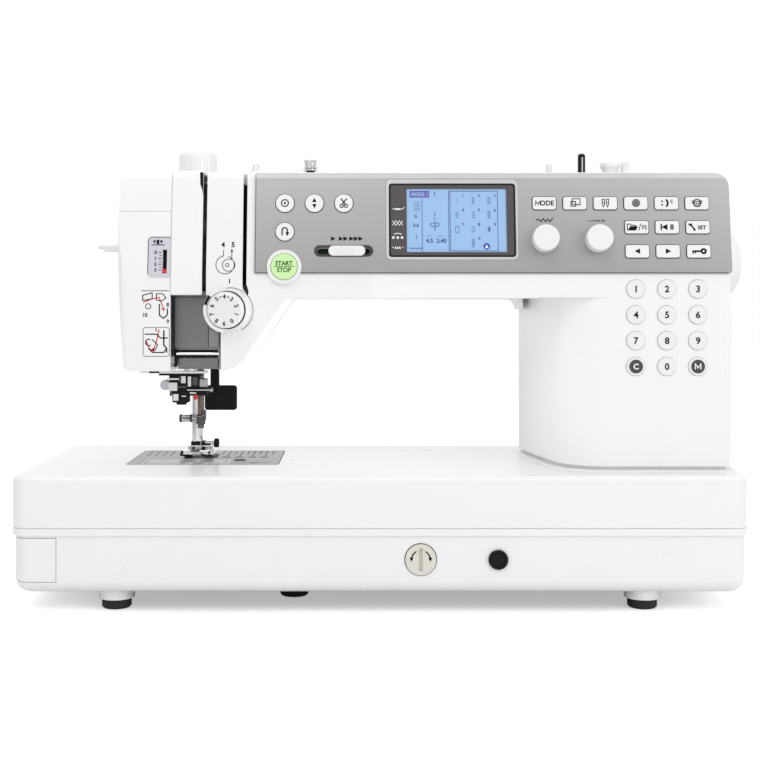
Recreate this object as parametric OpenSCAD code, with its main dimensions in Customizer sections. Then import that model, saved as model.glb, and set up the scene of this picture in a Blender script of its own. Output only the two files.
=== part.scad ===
// Computerised flatbed sewing machine. Millimetres, +Z up, front faces -Y.
// Lengths along X are measured from the middle of the bed, and place() moves the whole
// machine so that the origin lies under the middle of its overall width.

/* [Bed] */
// Width of the bed
bed_w = 517; // [505:1:530]
// Depth of the bed
bed_d = 195; // [190:1:205]
// Height of the bed's top above the floor
bed_top = 96.4; // [94:0.2:100]
// Height of the seam between the bed's tray and its cover
bed_seam = 60; // [58:0.5:64]
// Height of the tray's underside above the floor
bed_bottom = 14; // [12:0.5:16]
// Radius of the bed's upright corners
bed_corner = 12; // [11:0.5:15]
// Rounding of the top edge of the bed
bed_round = 4; // [2:0.5:6]
// Rounding of the bottom edge of the tray
tray_round = 10; // [6:0.5:11]
// Setback of the tray's sides under its lip
tray_set = 1.5; // [1:0.1:2]
// Height of the tray's lip
tray_lip = 5.4; // [4:0.2:8]
// Wall of the plastic covers
wall = 3; // [2.5:0.1:3.5]

/* [Feet] */
// Radius of a rubber foot
foot_r = 10.5; // [9:0.1:11]
// Height of a rubber foot
foot_h = 7; // [6:0.2:8]
// Radius of the collar above a foot
collar_r = 12.8; // [12:0.1:14]
// Distance of the outer feet from the middle of the bed
foot_x = 188; // [180:1:200]
// Distance of the feet from the middle of the bed's depth
foot_y = 73; // [68:1:76]

/* [Body] */
// Width of the tower
tower_w = 139; // [135:1:143]
// Gap between the tower's side and the end of the bed
tower_set = 4.5; // [3:0.5:6]
// Height of the arm's underside above the floor
arm_bottom = 220.8; // [218:0.2:224]
// Height of the body's top above the floor
body_top = 313; // [312:0.5:316]
// Front of the body
body_front = -68; // [-70:0.5:-66]
// Back of the arm and tower
body_back = 66; // [64:0.5:70]
// Back of the head
head_back = 40; // [39:0.5:42]
// Height where the front starts to lean back
kink_z = 238; // [237:0.2:239]
// Lean of the upper front
lean = 8; // [6:0.5:9]
// Height of the head's underside
head_bottom = 168; // [166:0.2:170]
// Gap under the tower
tower_gap = 3; // [2:0.2:4]
// Radius of the tower's corner towards the throat
tower_corner = 34; // [28:1:36]

/* [Needle and drive] */
// Needle, measured from the middle of the bed
needle_x = -138.6; // [-139.5:0.1:-138]
// Needle and upper shaft, measured from the middle of the depth
needle_y = 12; // [11.5:0.1:12.5]
// Height of the upper shaft
shaft_z = 248.5; // [248:0.1:249]
// Radius of the shafts
shaft_r = 4; // [3.5:0.1:4.5]
// Running clearance of a shaft or bar in its bearing
fit = 0.05; // [0.02:0.01:0.08]
// Radius of the needle bar
needle_bar_r = 2.6; // [2.4:0.1:2.8]
// Radius of the presser bar
presser_r = 4; // [3.8:0.1:4.2]
// Radius of the handwheel
wheel_r = 27; // [25:0.5:29]
// Thickness of the handwheel
wheel_t = 24; // [22:0.5:26]
// Height of the lower shaft
lower_z = 45; // [44.5:0.1:45.5]
// Radius of the hook's basket
hook_r = 20; // [19.5:0.1:20.2]

// Lean of the tension dial towards the end of the head
tension_lean = 12; // [8:1:16]

/* [Panel] */
// Thickness of the control panel
panel_t = 1.6; // [1.2:0.1:2]
// Radius of a round button
round_r = 6.6; // [6:0.1:7]
// Width of a function key
key_w = 16.8; // [15:0.2:18]
// Height of a function key
key_h = 9.2; // [8:0.2:10]
// Distance between function keys
key_pitch = 22.1; // [21:0.1:22.5]
// Distance between rows of function keys
key_row = 17.7; // [17:0.1:18]
// Radius of a number key
num_r = 6.6; // [6:0.1:7]
// Distance between number keys
num_pitch = 22.3; // [20:0.1:23]
// Distance between rows of number keys
num_row = 18.6; // [17:0.1:19]
// Clearance around a button
key_gap = 0.3; // [0.2:0.05:0.4]
// Radius of a selector knob
knob_r = 9.5; // [8.5:0.1:10]
// Height of a selector knob
knob_h = 11; // [9:0.5:13]

/* [Hidden] */
$fn = 48;
seam = 0.2;        // gap between two covers
slack = 0.3;       // gap around a piece that sits in a recess
arc_steps = 6;     // segments in a rounded corner

// places that follow from the sizes
body_right = bed_w / 2 - tower_set;
tower_left = body_right - tower_w;
tower_bottom = bed_top + tower_gap;
wheel_x = body_right + 3;
overall_w = wheel_x + wheel_t + bed_w / 2;
x_mid = overall_w / 2 - bed_w / 2;
head_left = needle_x - 50.8;
face_x = needle_x - 11.7;          // seam between face cover and take-up cover
slot_x = needle_x + 10.9;          // left edge of the take-up slot
slot_w = 2.9;
strip_x = slot_x + slot_w;         // left edge of the strip between the slots
strip_w = 26.2;
thread_x = strip_x + strip_w;      // left edge of the thread slot
recess_x = needle_x + 24.4;        // right edge of the open recess above the needle
recess_z = arm_bottom + 2.1;       // top of that recess
panel_x = needle_x + 48.6;         // left edge of the control panel
panel_h = (body_top - kink_z) / cos(lean) - 1.6;
presser_x = needle_x - 3.3;
presser_y = needle_y + 10;
hook_x = needle_x - 7.4;
hook_y = needle_y - hook_r;
lower_y = hook_y;
column_x = tower_left + 20;        // left edge of the frame's column
column_front = -25;
frame_front = -15;
frame_back = 36;

function unit(v) = v / norm(v);
function turn_at(a, b, c) = cross(b - a, c - b);
// a corner of an outline moved inwards by d
function inset_corner(a, b, c, d) =
  let (u = unit(b - a), v = unit(c - b), n = [-u[1], u[0]], m = [-v[1], v[0]])
  b + (n + m) * d / (1 + n * m);
function inset_outline(p, d) =
  let (n = len(p))
  [for (i = [0:n - 1]) inset_corner(p[(i + n - 1) % n], p[i], p[(i + 1) % n], d)];
// the points of a rounded corner
function corner_points(a, b, c, r) =
  r < 0.05 ? [b] :
  let (
    u = unit(a - b),
    v = unit(c - b),
    half = acos(u * v) / 2,
    middle = b + unit(u + v) * r / sin(half),
    first = b + u * r / tan(half) - middle,
    last = b + v * r / tan(half) - middle,
    start = atan2(first[1], first[0]),
    sweep = atan2(cross(first, last), first * last)
  )
  [for (k = [0:arc_steps]) middle + r * [cos(start + sweep * k / arc_steps),
                                         sin(start + sweep * k / arc_steps)]];
// an outline given anticlockwise as [x, y, radius], moved inwards by d, with its corners rounded
module outline(rows, d = 0) {
  flat = [for (row = rows) [row[0], row[1]]];
  p = inset_outline(flat, d);
  n = len(p);
  polygon([
    for (i = [0:n - 1])
      let (
        a = p[(i + n - 1) % n],
        b = p[i],
        c = p[(i + 1) % n],
        r = rows[i][2] == 0 ? 0 : max(rows[i][2] + (turn_at(a, b, c) > 0 ? -d : d), 0.5)
      )
      each corner_points(a, b, c, r)
  ]);
}
module round_rect(x0, y0, x1, y1, r) outline([[x0, y0, r], [x1, y0, r], [x1, y1, r], [x0, y1, r]]);

// solids along an axis
module box(low, high) translate(low) cube(high - low);
module peg_x(x0, x1, y, z, r) translate([x0, y, z]) rotate([0, 90, 0]) cylinder(h = x1 - x0, r = r);
module peg_y(x, y0, y1, z, r) translate([x, y1, z]) rotate([90, 0, 0]) cylinder(h = y1 - y0, r = r);
module peg_z(x, y, z0, z1, r) translate([x, y, z0]) cylinder(h = z1 - z0, r = r);
module cone_x(x0, x1, y, z, r0, r1)
  translate([x0, y, z]) rotate([0, 90, 0]) cylinder(h = x1 - x0, r1 = r0, r2 = r1);
// a drawing in X and Z made y0 to y1 deep
module deep(y0, y1) translate([0, y1, 0]) rotate([90, 0, 0]) linear_extrude(y1 - y0) children();
// a drawing in Y and Z made x0 to x1 wide
module wide(x0, x1)
  translate([x0, 0, 0]) rotate([90, 0, 90]) linear_extrude(x1 - x0) children();
module tall(z0, z1) translate([0, 0, z0]) linear_extrude(z1 - z0) children();
module place() translate([-x_mid, 0, 0]) children();
// the plane of the leaning front: X as ever, Z up the slope, -Y out of it
module on_panel() translate([0, body_front, kink_z]) rotate([-lean, 0, 0]) children();

// ---------------------------------------------------------------- the bed
// a block with rounded upright corners and rounded top and bottom edges
module soft_block(w, d, z0, z1, corner, top, low) {
  h = z1 - z0;
  module side_profile(half)
    outline([[-half, z0, low], [half, z0, low], [half, z1, top], [-half, z1, top]]);
  union() {
    wide(-w / 2 + corner, w / 2 - corner) side_profile(d / 2);
    deep(-d / 2 + corner, d / 2 - corner) side_profile(w / 2);
    for (sx = [-1, 1]) for (sy = [-1, 1])
      translate([sx * (w / 2 - corner), sy * (d / 2 - corner), 0])
        rotate_extrude() intersection() {
          side_profile(corner);
          translate([0, z0]) square([corner, h]);
        }
  }
}
module tray_shape(d) {
  w = bed_w - 2 * tray_set;
  soft_block(w - 2 * d, bed_d - 2 * tray_set - 2 * d, bed_bottom + d, bed_seam + 1,
    bed_corner - d, 0, max(tray_round - d, 0.5));
}
foot_places = [for (sx = [-1, 1]) for (sy = [-1, 1]) [sx * foot_x, sy * foot_y],
               [-foot_x / 3, -foot_y / 2]];
cap_x = bed_w / 2 - 32.5;        // the end cap covers the tray from here outwards
cap_low = bed_bottom + 8;
cap_high = bed_seam - 7;
dial_x = 28.4;
dial_r = 10.8;
knee_x = 82.4;
knee_r = 6.5;
knee_bore = 4.2;
front_z = (bed_bottom + bed_seam) / 2 + 1.2;
plate_low = [needle_x - 50.4, needle_y - 46];
plate_high = [needle_x + 63.6, needle_y + 43.5];
plate_t = 3;
frame_seat = bed_bottom + wall + 2;
seat_places = [for (x = [plate_low[0] + 14, body_right - 40]) for (y = [plate_low[1] + 14, plate_high[1] - 14])
  [x, y]];
// a band around the end of the tray, from its outside to d deep
module cap_ring(d, gap)
  intersection() {
    difference() {
      tray_shape(0);
      tray_shape(d);
    }
    box([-bed_w / 2 - 1, -bed_d / 2 - 1, cap_low + gap], [-cap_x - gap, bed_d / 2 + 1, cap_high - gap]);
  }

module bed_base() color("white") difference() {
  union() {
    difference() {
      union() {
        intersection() {
          tray_shape(0);
          box([-bed_w, -bed_d, 0], [bed_w, bed_d, bed_seam - tray_lip]);
        }
        soft_block(bed_w, bed_d, bed_seam - tray_lip, bed_seam - seam, bed_corner, 0, 0.5);
      }
      intersection() {
        tray_shape(wall + 2);
        box([-bed_w, -bed_d, 0], [bed_w, bed_d, bed_seam + 1]);
      }
    }
    for (f = foot_places) peg_z(f[0], f[1], foot_h, frame_seat, collar_r);
    for (s = seat_places) peg_z(s[0], s[1], bed_bottom + wall, frame_seat, 6);
    peg_y(dial_x, -bed_d / 2 + tray_set, -bed_d / 2 + 14, front_z, dial_r + 3);
    peg_y(knee_x, -bed_d / 2 + tray_set, -bed_d / 2 + 14, front_z, knee_r + 3);
  }
  cap_ring(2.2, 0);
  for (f = foot_places) peg_z(f[0], f[1], foot_h - 1, bed_bottom + 1, 4.2);
  peg_y(dial_x, -bed_d / 2, -bed_d / 2 + tray_set + 4, front_z, dial_r + slack);
  peg_y(dial_x, -bed_d / 2, -bed_d / 2 + 15, front_z, shaft_r + fit);
  peg_y(knee_x, -bed_d / 2, -bed_d / 2 + 15, front_z, knee_r + fit);
}

module bed_end_cap() color("white") cap_ring(2, slack);

module feet() color("dimgray") for (f = foot_places) {
  peg_z(f[0], f[1], 1, foot_h, foot_r);
  peg_z(f[0], f[1], 0, 1, foot_r - 1);
  peg_z(f[0], f[1], foot_h, bed_bottom, 4);
}

module bed_cover() color("white") difference() {
  union() {
    difference() {
      soft_block(bed_w, bed_d, bed_seam, bed_top, bed_corner, bed_round, 0.5);
      intersection() {
        soft_block(bed_w - 2 * wall, bed_d - 2 * wall, bed_seam - 2, bed_top - wall,
          bed_corner - wall, 1, 0);
        box([-bed_w, -bed_d, 0], [bed_w, bed_d, bed_top]);
      }
    }
    tall(bed_top - 1, bed_top + 0.6) intersection() {
      outline(tower_plan, -4);
      translate([-bed_w / 2, -bed_d / 2]) square([bed_w, bed_d]);
    }
    tall(bed_top - 1, tower_bottom + 2) outline(tower_plan, wall + slack);
  }
  tall(bed_top - 2 * wall, tower_bottom + 3) outline(tower_plan, 2 * wall);
  tall(bed_top - 2 * wall, bed_top + 1)
    round_rect(plate_low[0] - slack, plate_low[1] - slack, plate_high[0] + slack,
      plate_high[1] + slack, 4);
}

module needle_plate() color("silver") difference() {
  tall(bed_top - plate_t, bed_top)
    round_rect(plate_low[0], plate_low[1], plate_high[0], plate_high[1], 4);
  tall(bed_top - plate_t - 1, bed_top + 1)
    round_rect(lid_low[0] - slack, lid_low[1] - slack, lid_high[0] + slack, lid_high[1] + slack, 4);
  box([needle_x - 5, needle_y - 1.2, bed_top - 4], [needle_x + 5, needle_y + 1.2, bed_top + 1]);
  for (row = tooth_rows)
    box([row[0] - 0.5, row[1] - 0.5, bed_top - 4], [row[2] + 0.5, row[3] + 0.5, bed_top + 1]);
  for (s = plate_screws) {
    peg_z(s[0], s[1], bed_top - 1.2, bed_top + 1, 3.4);
    peg_z(s[0], s[1], bed_top - 4, bed_top, 1.8);
  }
}
lid_low = [needle_x - 41.5, needle_y - 43];
lid_high = [needle_x + 26.5, needle_y - 9];
tooth_rows = [
  [needle_x - 12.5, needle_y - 4, needle_x - 8.5, needle_y + 22],
  [needle_x + 8.5, needle_y - 4, needle_x + 12.5, needle_y + 22],
  [needle_x - 2, needle_y + 8, needle_x + 2, needle_y + 22]
];
plate_screws = [[needle_x + 45, needle_y - 36], [needle_x + 45, needle_y + 34]];

module bobbin_cover() color([0.85, 0.9, 0.95, 0.5]) {
  tall(bed_top - 1.8, bed_top)
    round_rect(lid_low[0], lid_low[1], lid_high[0], lid_high[1], 4);
  box([lid_low[0] + 6, lid_low[1] + 6, bed_top - plate_t], [lid_low[0] + 9, lid_high[1] - 6, bed_top - 1]);
  box([lid_high[0] - 9, lid_low[1] + 6, bed_top - plate_t], [lid_high[0] - 6, lid_high[1] - 6, bed_top - 1]);
}

// ---------------------------------------------------------------- the body
// outline of tower, arm and head in X and Z: x, z, corner radius
body_rows = [
  [tower_left, bed_top - 9, 0],
  [body_right, bed_top - 9, 0],
  [body_right, body_top, 11.5],
  [head_left + 2, body_top, 4],
  [head_left, body_top - 43, 0],
  [head_left + 0.8, arm_bottom + 9, 0],
  [head_left + 5, head_bottom, 5],
  [needle_x + 34.6, head_bottom, 23],
  [needle_x + 71, arm_bottom, 6],
  [tower_left, arm_bottom, 8]
];
// the body's section in Y and Z
side_rows = [
  [body_front, head_bottom - 100, 0],
  [body_back, head_bottom - 100, 0],
  [body_back, body_top, 10],
  [body_front + (body_top - kink_z) * tan(lean), body_top, 6],
  [body_front, kink_z, 0]
];
// the head and arm from above
arm_plan = [
  [head_left, body_front, 8],
  [body_right, body_front, 4],
  [body_right, body_back, 14],
  [needle_x + 54, body_back, 12],
  [needle_x + 31, head_back, 12],
  [head_left, head_back, 14]
];
// the tower from above
tower_plan = [
  [tower_left + 12.5, body_front + 46, 0],
  [tower_left + 22, body_front, tower_corner],
  [body_right, body_front, 4],
  [body_right, body_back, 14],
  [tower_left, body_back, 14],
  [tower_left + 5, body_back - 45, 0]
];
tower_from = arm_bottom + 0.5;     // the tower's own plan holds below this height
module body(d) intersection() {
  wide(-bed_w, bed_w) outline(side_rows, d);
  deep(-bed_d, bed_d) outline(body_rows, d);
  union() {
    difference() {
      tall(0, body_top + 9) outline(arm_plan, d);
      box([tower_left + d, -bed_d, 0], [bed_w, bed_d, tower_from + d]);
      box([tower_left - 9, -bed_d, 0], [bed_w, body_back - 50, arm_bottom - 0.01]);
    }
    tall(0, tower_from + d) outline(tower_plan, d);
  }
}
module shell(outer, inner) difference() {
  body(outer);
  body(inner);
}
module front_half() box([-bed_w, -bed_d, tower_bottom], [bed_w, -seam / 2, body_top + 20]);
module rear_half() box([-bed_w, seam / 2, tower_bottom], [bed_w, bed_d, body_top + 20]);

module front_cover() color("white") difference() {
  union() {
    difference() {
      intersection() {
        shell(0, wall);
        front_half();
        union() {
          box([strip_x, -bed_d, recess_z], [bed_w, bed_d, body_top + 9]);
          box([recess_x, -bed_d, 0], [bed_w, bed_d, body_top + 9]);
        }
      }
      box([thread_x, -bed_d, arm_bottom + 9], [thread_x + slot_w, 0, body_top + 9]);
    }
    intersection() {
      body(1);
      difference() {
        box([thread_x - 1.5, -bed_d, arm_bottom + 7.5],
          [thread_x + slot_w + 1.5, body_front + 24, body_top]);
        box([thread_x, -bed_d, arm_bottom + 9], [thread_x + slot_w, body_front + 22, body_top + 9]);
      }
    }
    intersection() {
      on_tension() peg_y(0, -5, 9, 0, tension_base);
      box([-bed_w, body_front - tension_base, 0], [bed_w, body_front + wall, body_top]);
    }
    on_panel() peg_y(start_x, -panel_t - 0.6, wall, start_v, start_r + 3);
    for (s = front_posts) peg_y(s[0], body_front + wall - 0.5, column_front, s[1], 4);
    on_panel() for (s = board_posts) peg_y(s[0], wall - 0.5, board_y, s[1], 2.5);
  }
  on_panel() panel_cuts(wall + 1, 0.01);
  number_cuts();
  on_tension() peg_y(0, -9, 9.5, 0, tension_r + slack);
}
// the tension dial's own plane: -Y out of its face
module on_tension()
  translate([tension_x, body_front, tension_z]) rotate([0, 0, -tension_lean]) children();
front_posts = [[column_x + 24, tower_bottom + 50], [column_x + 24, tower_bottom + 105]];
tension_x = needle_x + 30.6;
tension_z = arm_bottom - 8.6;
tension_base = 15.6;
tension_r = 13.1;
start_x = needle_x + 70.1;
start_v = 5.1;
start_r = 9.5;
round_x = start_x + 0.3;
round_pitch = 21.3;
row_v = 51.7;
reverse_v = 30.7;
slider_x = needle_x + 112.9;
slider_v = 16.7;
display_low = [needle_x + 146, 12.6];
display_high = [needle_x + 236.9, 66];
knob_x = display_high[0] + 20.9;
knob_pitch = 38.4;
knob_v = 24.7;
keys_x = display_high[0] + 21.3;
num_x = body_right - 24.7 - 2 * num_pitch;
num_z = kink_z - 10.7;
board_posts = [[display_low[0] - 15, 42], [display_high[0] + 8, 12], [knob_x + 53, 40]];

module round_places() {
  for (i = [0:2]) translate([round_x + i * round_pitch, 0, row_v]) children();
  translate([round_x, 0, reverse_v]) children();
}
module key_places_top() for (i = [0:5]) translate([keys_x + i * key_pitch, 0, row_v]) children();
module key_places_side() for (j = [1:2]) for (i = [3:5])
  translate([keys_x + i * key_pitch, 0, row_v - j * key_row]) children();
module number_places() for (j = [0:3]) for (i = [0:2])
  translate([num_x + i * num_pitch, body_front, num_z - j * num_row]) children();
module key_outline(grow) {
  hw = key_w / 2 + grow;
  hh = key_h / 2 + grow;
  outline([[-hw, -hh, 1.6], [hw, -hh, 1.6], [hw, hh, 1.6], [-hw, hh, 1.6]]);
}
// every hole of the leaning front, from the front to y1 deep
module panel_cuts(y1, grow) {
  y0 = -panel_t - 3;
  round_places() peg_y(0, y0, y1, 0, round_r + key_gap + grow);
  key_places_top() deep(y0, y1) key_outline(key_gap + grow);
  key_places_side() deep(y0, y1) key_outline(key_gap + grow);
  peg_y(start_x, y0, y1, start_v, start_r + key_gap);
  deep(y0, y1) round_rect(display_low[0] - slack, display_low[1] - slack, display_high[0] + slack,
    display_high[1] + slack, 2);
  for (i = [0:1]) peg_y(knob_x + i * knob_pitch, y0, y1, knob_v, 3 + fit + grow);
  deep(y0, y1) round_rect(slider_x - 19, slider_v - 2.4, slider_x + 19, slider_v + 2.4, 2.2);
}
module number_cuts() number_places()
  peg_y(0, -3, wall + 1, 0, num_r + key_gap);

module control_panel() color([0.72, 0.72, 0.72]) difference() {
  intersection() {
    on_panel() difference() {
      deep(-panel_t, 0) outline([
        [panel_x, 0.3, 1], [body_right, 0.3, 3], [body_right, panel_h, 10], [panel_x, panel_h, 1]
      ]);
      panel_cuts(1, 0);
      peg_y(start_x, -9, 9, start_v, start_r + 3 + slack);
      deep(-panel_t - 1, -panel_t + 0.6)
        round_rect(slider_x - 21.5, slider_v - 4.3, slider_x + 21.5, slider_v + 4.3, 4.2);
      deep(-panel_t - 1, -panel_t + 0.8)
        round_rect(display_low[0] - 2.4, display_low[1] - 2.4, display_high[0] + 2, display_high[1] + 3, 3);
    }
    deep(-bed_d, bed_d) outline(body_rows, 0);
  }
}

module rear_cover() color("white") difference() {
  union() {
    intersection() {
      shell(0, wall);
      rear_half();
      box([face_x + seam, -bed_d, 0], [bed_w, bed_d, body_top + 9]);
    }
    intersection() {
      body(1);
      box([well_low[0] - 2, well_low[1] - 2, well_z - 2], [well_high[0] + 2, well_high[1] + 2, body_top]);
    }
    for (x = handle_ends) handle_ear(x);
    for (s = rear_posts) peg_y(s[0], frame_back, body_back - wall + 0.5, s[1], 4);
  }
  box([well_low[0], well_low[1], well_z], [well_high[0], well_high[1], body_top + 9]);
  peg_x(body_right - wall - 1, body_right + 1, needle_y, shaft_z, shaft_r + 3);
  for (x = handle_ends) peg_x(x - 9, x + 9, handle_y, handle_z, 3 + fit);
  box([face_x - 1, -1, head_bottom - 1], [needle_x + 24, frame_back + 0.5, head_bottom + wall + 0.5]);
  peg_y(lifter_x, head_back - wall - 1, head_back + 1, lifter_z, 4);
  peg_z(presser_x, presser_y, body_top - wall - 1, body_top + 1, 3 + fit);
  peg_z(winder_x, winder_y, body_top - wall - 1, body_top + 1, 3 + fit);
  for (g = guide_places) peg_z(g[0], g[1], body_top - wall - 1, body_top + 1, 1.6);
  peg_z(stopper_x, winder_y, body_top - wall - 1, body_top + 1, 2);
  peg_z(spool_x, spool_y, body_top - wall - 1, body_top + 1, 2.4 + fit);
  power_cuts();
  for (s = back_screws) {
    peg_y(s[0], body_back - 1.6, body_back + 1, s[1], 3.5);
    peg_y(s[0], body_back - wall - 6, body_back + 1, s[1], 1.8);
  }
  for (i = [0:9])
    box([tower_left + 30 + i * 7, body_back - wall - 1, tower_bottom + 20],
      [tower_left + 33 + i * 7, body_back + 1, tower_bottom + 60]);
}
well_low = [36, 16];
well_high = [126, 57];
well_z = 289.5;
spool_x = 138.6;
spool_y = 35;
spool_z = 304;
rear_posts = [[needle_x + 80, 277], [20, 277]];
back_screws = [[-60, 240], [90, 240], [tower_left + 20, 110], [body_right - 25, 110]];
handle_ends = [-30, 110];
handle_y = body_back + 7;
handle_z = body_top - 14;
module handle_ear(x) difference() {
  union() {
    peg_x(x - 4, x + 4, handle_y, handle_z, 6);
    box([x - 4, body_back - wall + 0.5, handle_z - 6], [x + 4, handle_y, handle_z + 6]);
  }
  box([x - 9, body_back - wall - 20, handle_z - 9], [x + 9, body_back - wall, handle_z + 9]);
}

module carry_handle() color("white") {
  for (e = [[handle_ends[0] + 4 + slack, 8], [handle_ends[1] - 4 - slack - 8, 8]]) {
    peg_x(e[0], e[0] + 8, handle_y, handle_z, 6);
    box([e[0], handle_y - 4, handle_z - 54], [e[0] + 8, handle_y + 4, handle_z]);
  }
  deep(handle_y - 5, handle_y + 5) round_rect(handle_ends[0] + 4 + slack, handle_z - 66,
    handle_ends[1] - 4 - slack, handle_z - 50, 5);
  peg_x(handle_ends[0] - 4, handle_ends[0] + 5, handle_y, handle_z, 3);
  peg_x(handle_ends[1] - 5, handle_ends[1] + 4, handle_y, handle_z, 3);
}

module head_side() box([-bed_w, -bed_d, 0], [face_x - seam, bed_d, body_top + 9]);
cap_seam = body_top - 29.2;
module head_cap() color("white") intersection() {
  shell(0, wall);
  head_side();
  box([-bed_w, -bed_d, cap_seam + seam / 2], [bed_w, bed_d, body_top + 9]);
}

gauge_low = [face_x - 16.9, -2.7];
gauge_high = [face_x - seam, 27.5];
marker_x = needle_x - 16.2;
module face_cover() color("white") difference() {
  intersection() {
    shell(0, wall);
    head_side();
    box([-bed_w, -bed_d, 0], [bed_w, bed_d, cap_seam - seam / 2]);
  }
  on_panel() box([marker_x - 1.6, -2, 0.5], [marker_x + 1.6, wall + 2, 18.2]);
  box([-bed_w, threader_y - 4.5, threader_z - 32.5], [head_left + 12, threader_y + 4.5, threader_z + 4.5]);
  box([lamp_x - 10 - slack, lamp_y - 14 - slack, head_bottom - 1],
    [lamp_x + 10 + slack, lamp_y + 14 + slack, head_bottom + wall + 1]);
  peg_x(-bed_w, head_left + 20, -40, 262, 1.8);
  peg_x(-bed_w, head_left + 20, -40, 192, 1.8);
}
module pressure_marker() color("red")
  on_panel() {
    box([marker_x - 1.4, -0.4, 1], [marker_x + 1.4, wall + 1.5, 3.4]);
    box([marker_x - 5, wall + 0.3, 0], [marker_x + 5, wall + 1.5, 4.4]);
  }
lamp_x = needle_x - 29;
lamp_y = -6;
module lamp() color([0.95, 0.95, 0.9]) {
  box([lamp_x - 10, lamp_y - 14, head_bottom - 0.4], [lamp_x + 10, lamp_y + 14, head_bottom + wall]);
  box([lamp_x - 11, lamp_y - 16, head_bottom + wall + 0.05], [lamp_x + 11, lamp_y + 16, head_bottom + wall + 5]);
}

raised = 1.2;
module take_up_cover() color("white") intersection() {
  shell(-raised, wall - raised);
  box([face_x, -bed_d, recess_z], [slot_x, -seam, body_top + 9]);
}

module tension_dial() color("white") on_tension() {
  peg_y(0, -11, 2.6, 0, tension_r);
  peg_y(0, -12, -11, 0, tension_r - 1);
}
module display() color([0.35, 0.32, 0.33]) on_panel()
  deep(-0.6, board_y)
    round_rect(display_low[0], display_low[1], display_high[0], display_high[1], 2);
board_y = wall + 6;
module circuit_board() color("green") on_panel()
  box([start_x - 14, board_y, 6], [body_right - 14, board_y + 1.6, panel_h - 10]);

// a cap of a button, with the collar that keeps it behind the cover
button_out = 1.2;
stem_end = wall + 4.2;
collar = 1.2;
module round_button(x, v, colour) color(colour) on_panel() {
  peg_y(x, -panel_t - button_out, stem_end, v, round_r);
  peg_y(x, wall + fit, wall + fit + collar, v, round_r + collar);
}
module key_cap() {
  deep(-panel_t - button_out, stem_end) key_outline(0);
  deep(wall + fit, wall + fit + collar) key_outline(collar);
}
module lock_button() round_button(round_x, row_v, "white");
module needle_button() round_button(round_x + round_pitch, row_v, "white");
module cutter_button() round_button(round_x + 2 * round_pitch, row_v, "white");
module reverse_button() round_button(round_x, reverse_v, "white");
module start_button() color([0.84, 0.96, 0.66]) on_panel() {
  peg_y(start_x, -panel_t - 1.4, stem_end, start_v, start_r);
  peg_y(start_x, wall + 0.85, wall + 2, start_v, start_r + collar);
}
module function_keys_top() color("white") on_panel() key_places_top() key_cap();
module function_keys_side() color("white") on_panel() key_places_side() key_cap();
module number_keys() color("white") number_places() {
  peg_y(0, -button_out, stem_end, 0, num_r);
  peg_y(0, wall + slack + fit, wall + slack + collar, 0, num_r + collar);
}
module speed_slider() color("white") on_panel() {
  x = slider_x + 2.3;
  deep(-panel_t - 1.8, -panel_t + 0.4)
    round_rect(x - 13.3, slider_v - 3.7, x + 13.3, slider_v + 3.7, 3.6);
  box([x - 6, -panel_t, slider_v - 2], [x + 6, wall + 1, slider_v + 2]);
  box([x - 6, wall + fit, slider_v - 4], [x + 6, wall + collar, slider_v + 4]);
}
module selector_knob(i) color("white") on_panel() translate([knob_x + i * knob_pitch, 0, knob_v]) {
  peg_y(0, -panel_t - knob_h, -panel_t - slack, 0, knob_r);
  peg_y(0, -panel_t - 1, board_y - 0.5, 0, 3);
}
module width_knob() selector_knob(0);
module length_knob() selector_knob(1);

module feed_dial() color([0.87, 0.86, 0.82]) difference() {
  union() {
    peg_y(dial_x, -bed_d / 2 + 0.3, -bed_d / 2 + tray_set + 3.7, front_z, dial_r);
    peg_y(dial_x, -bed_d / 2 + 3, -bed_d / 2 + 16, front_z, shaft_r);
  }
  box([dial_x - 1.3, -bed_d / 2 - 1, front_z - 8], [dial_x + 1.3, -bed_d / 2 + 2.3, front_z + 8]);
}
module knee_socket() color("black") difference() {
  peg_y(knee_x, -bed_d / 2 + 0.4, -bed_d / 2 + 24, front_z, knee_r);
  peg_y(knee_x, -bed_d / 2 - 1, -bed_d / 2 + 22, front_z, knee_bore);
}

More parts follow.
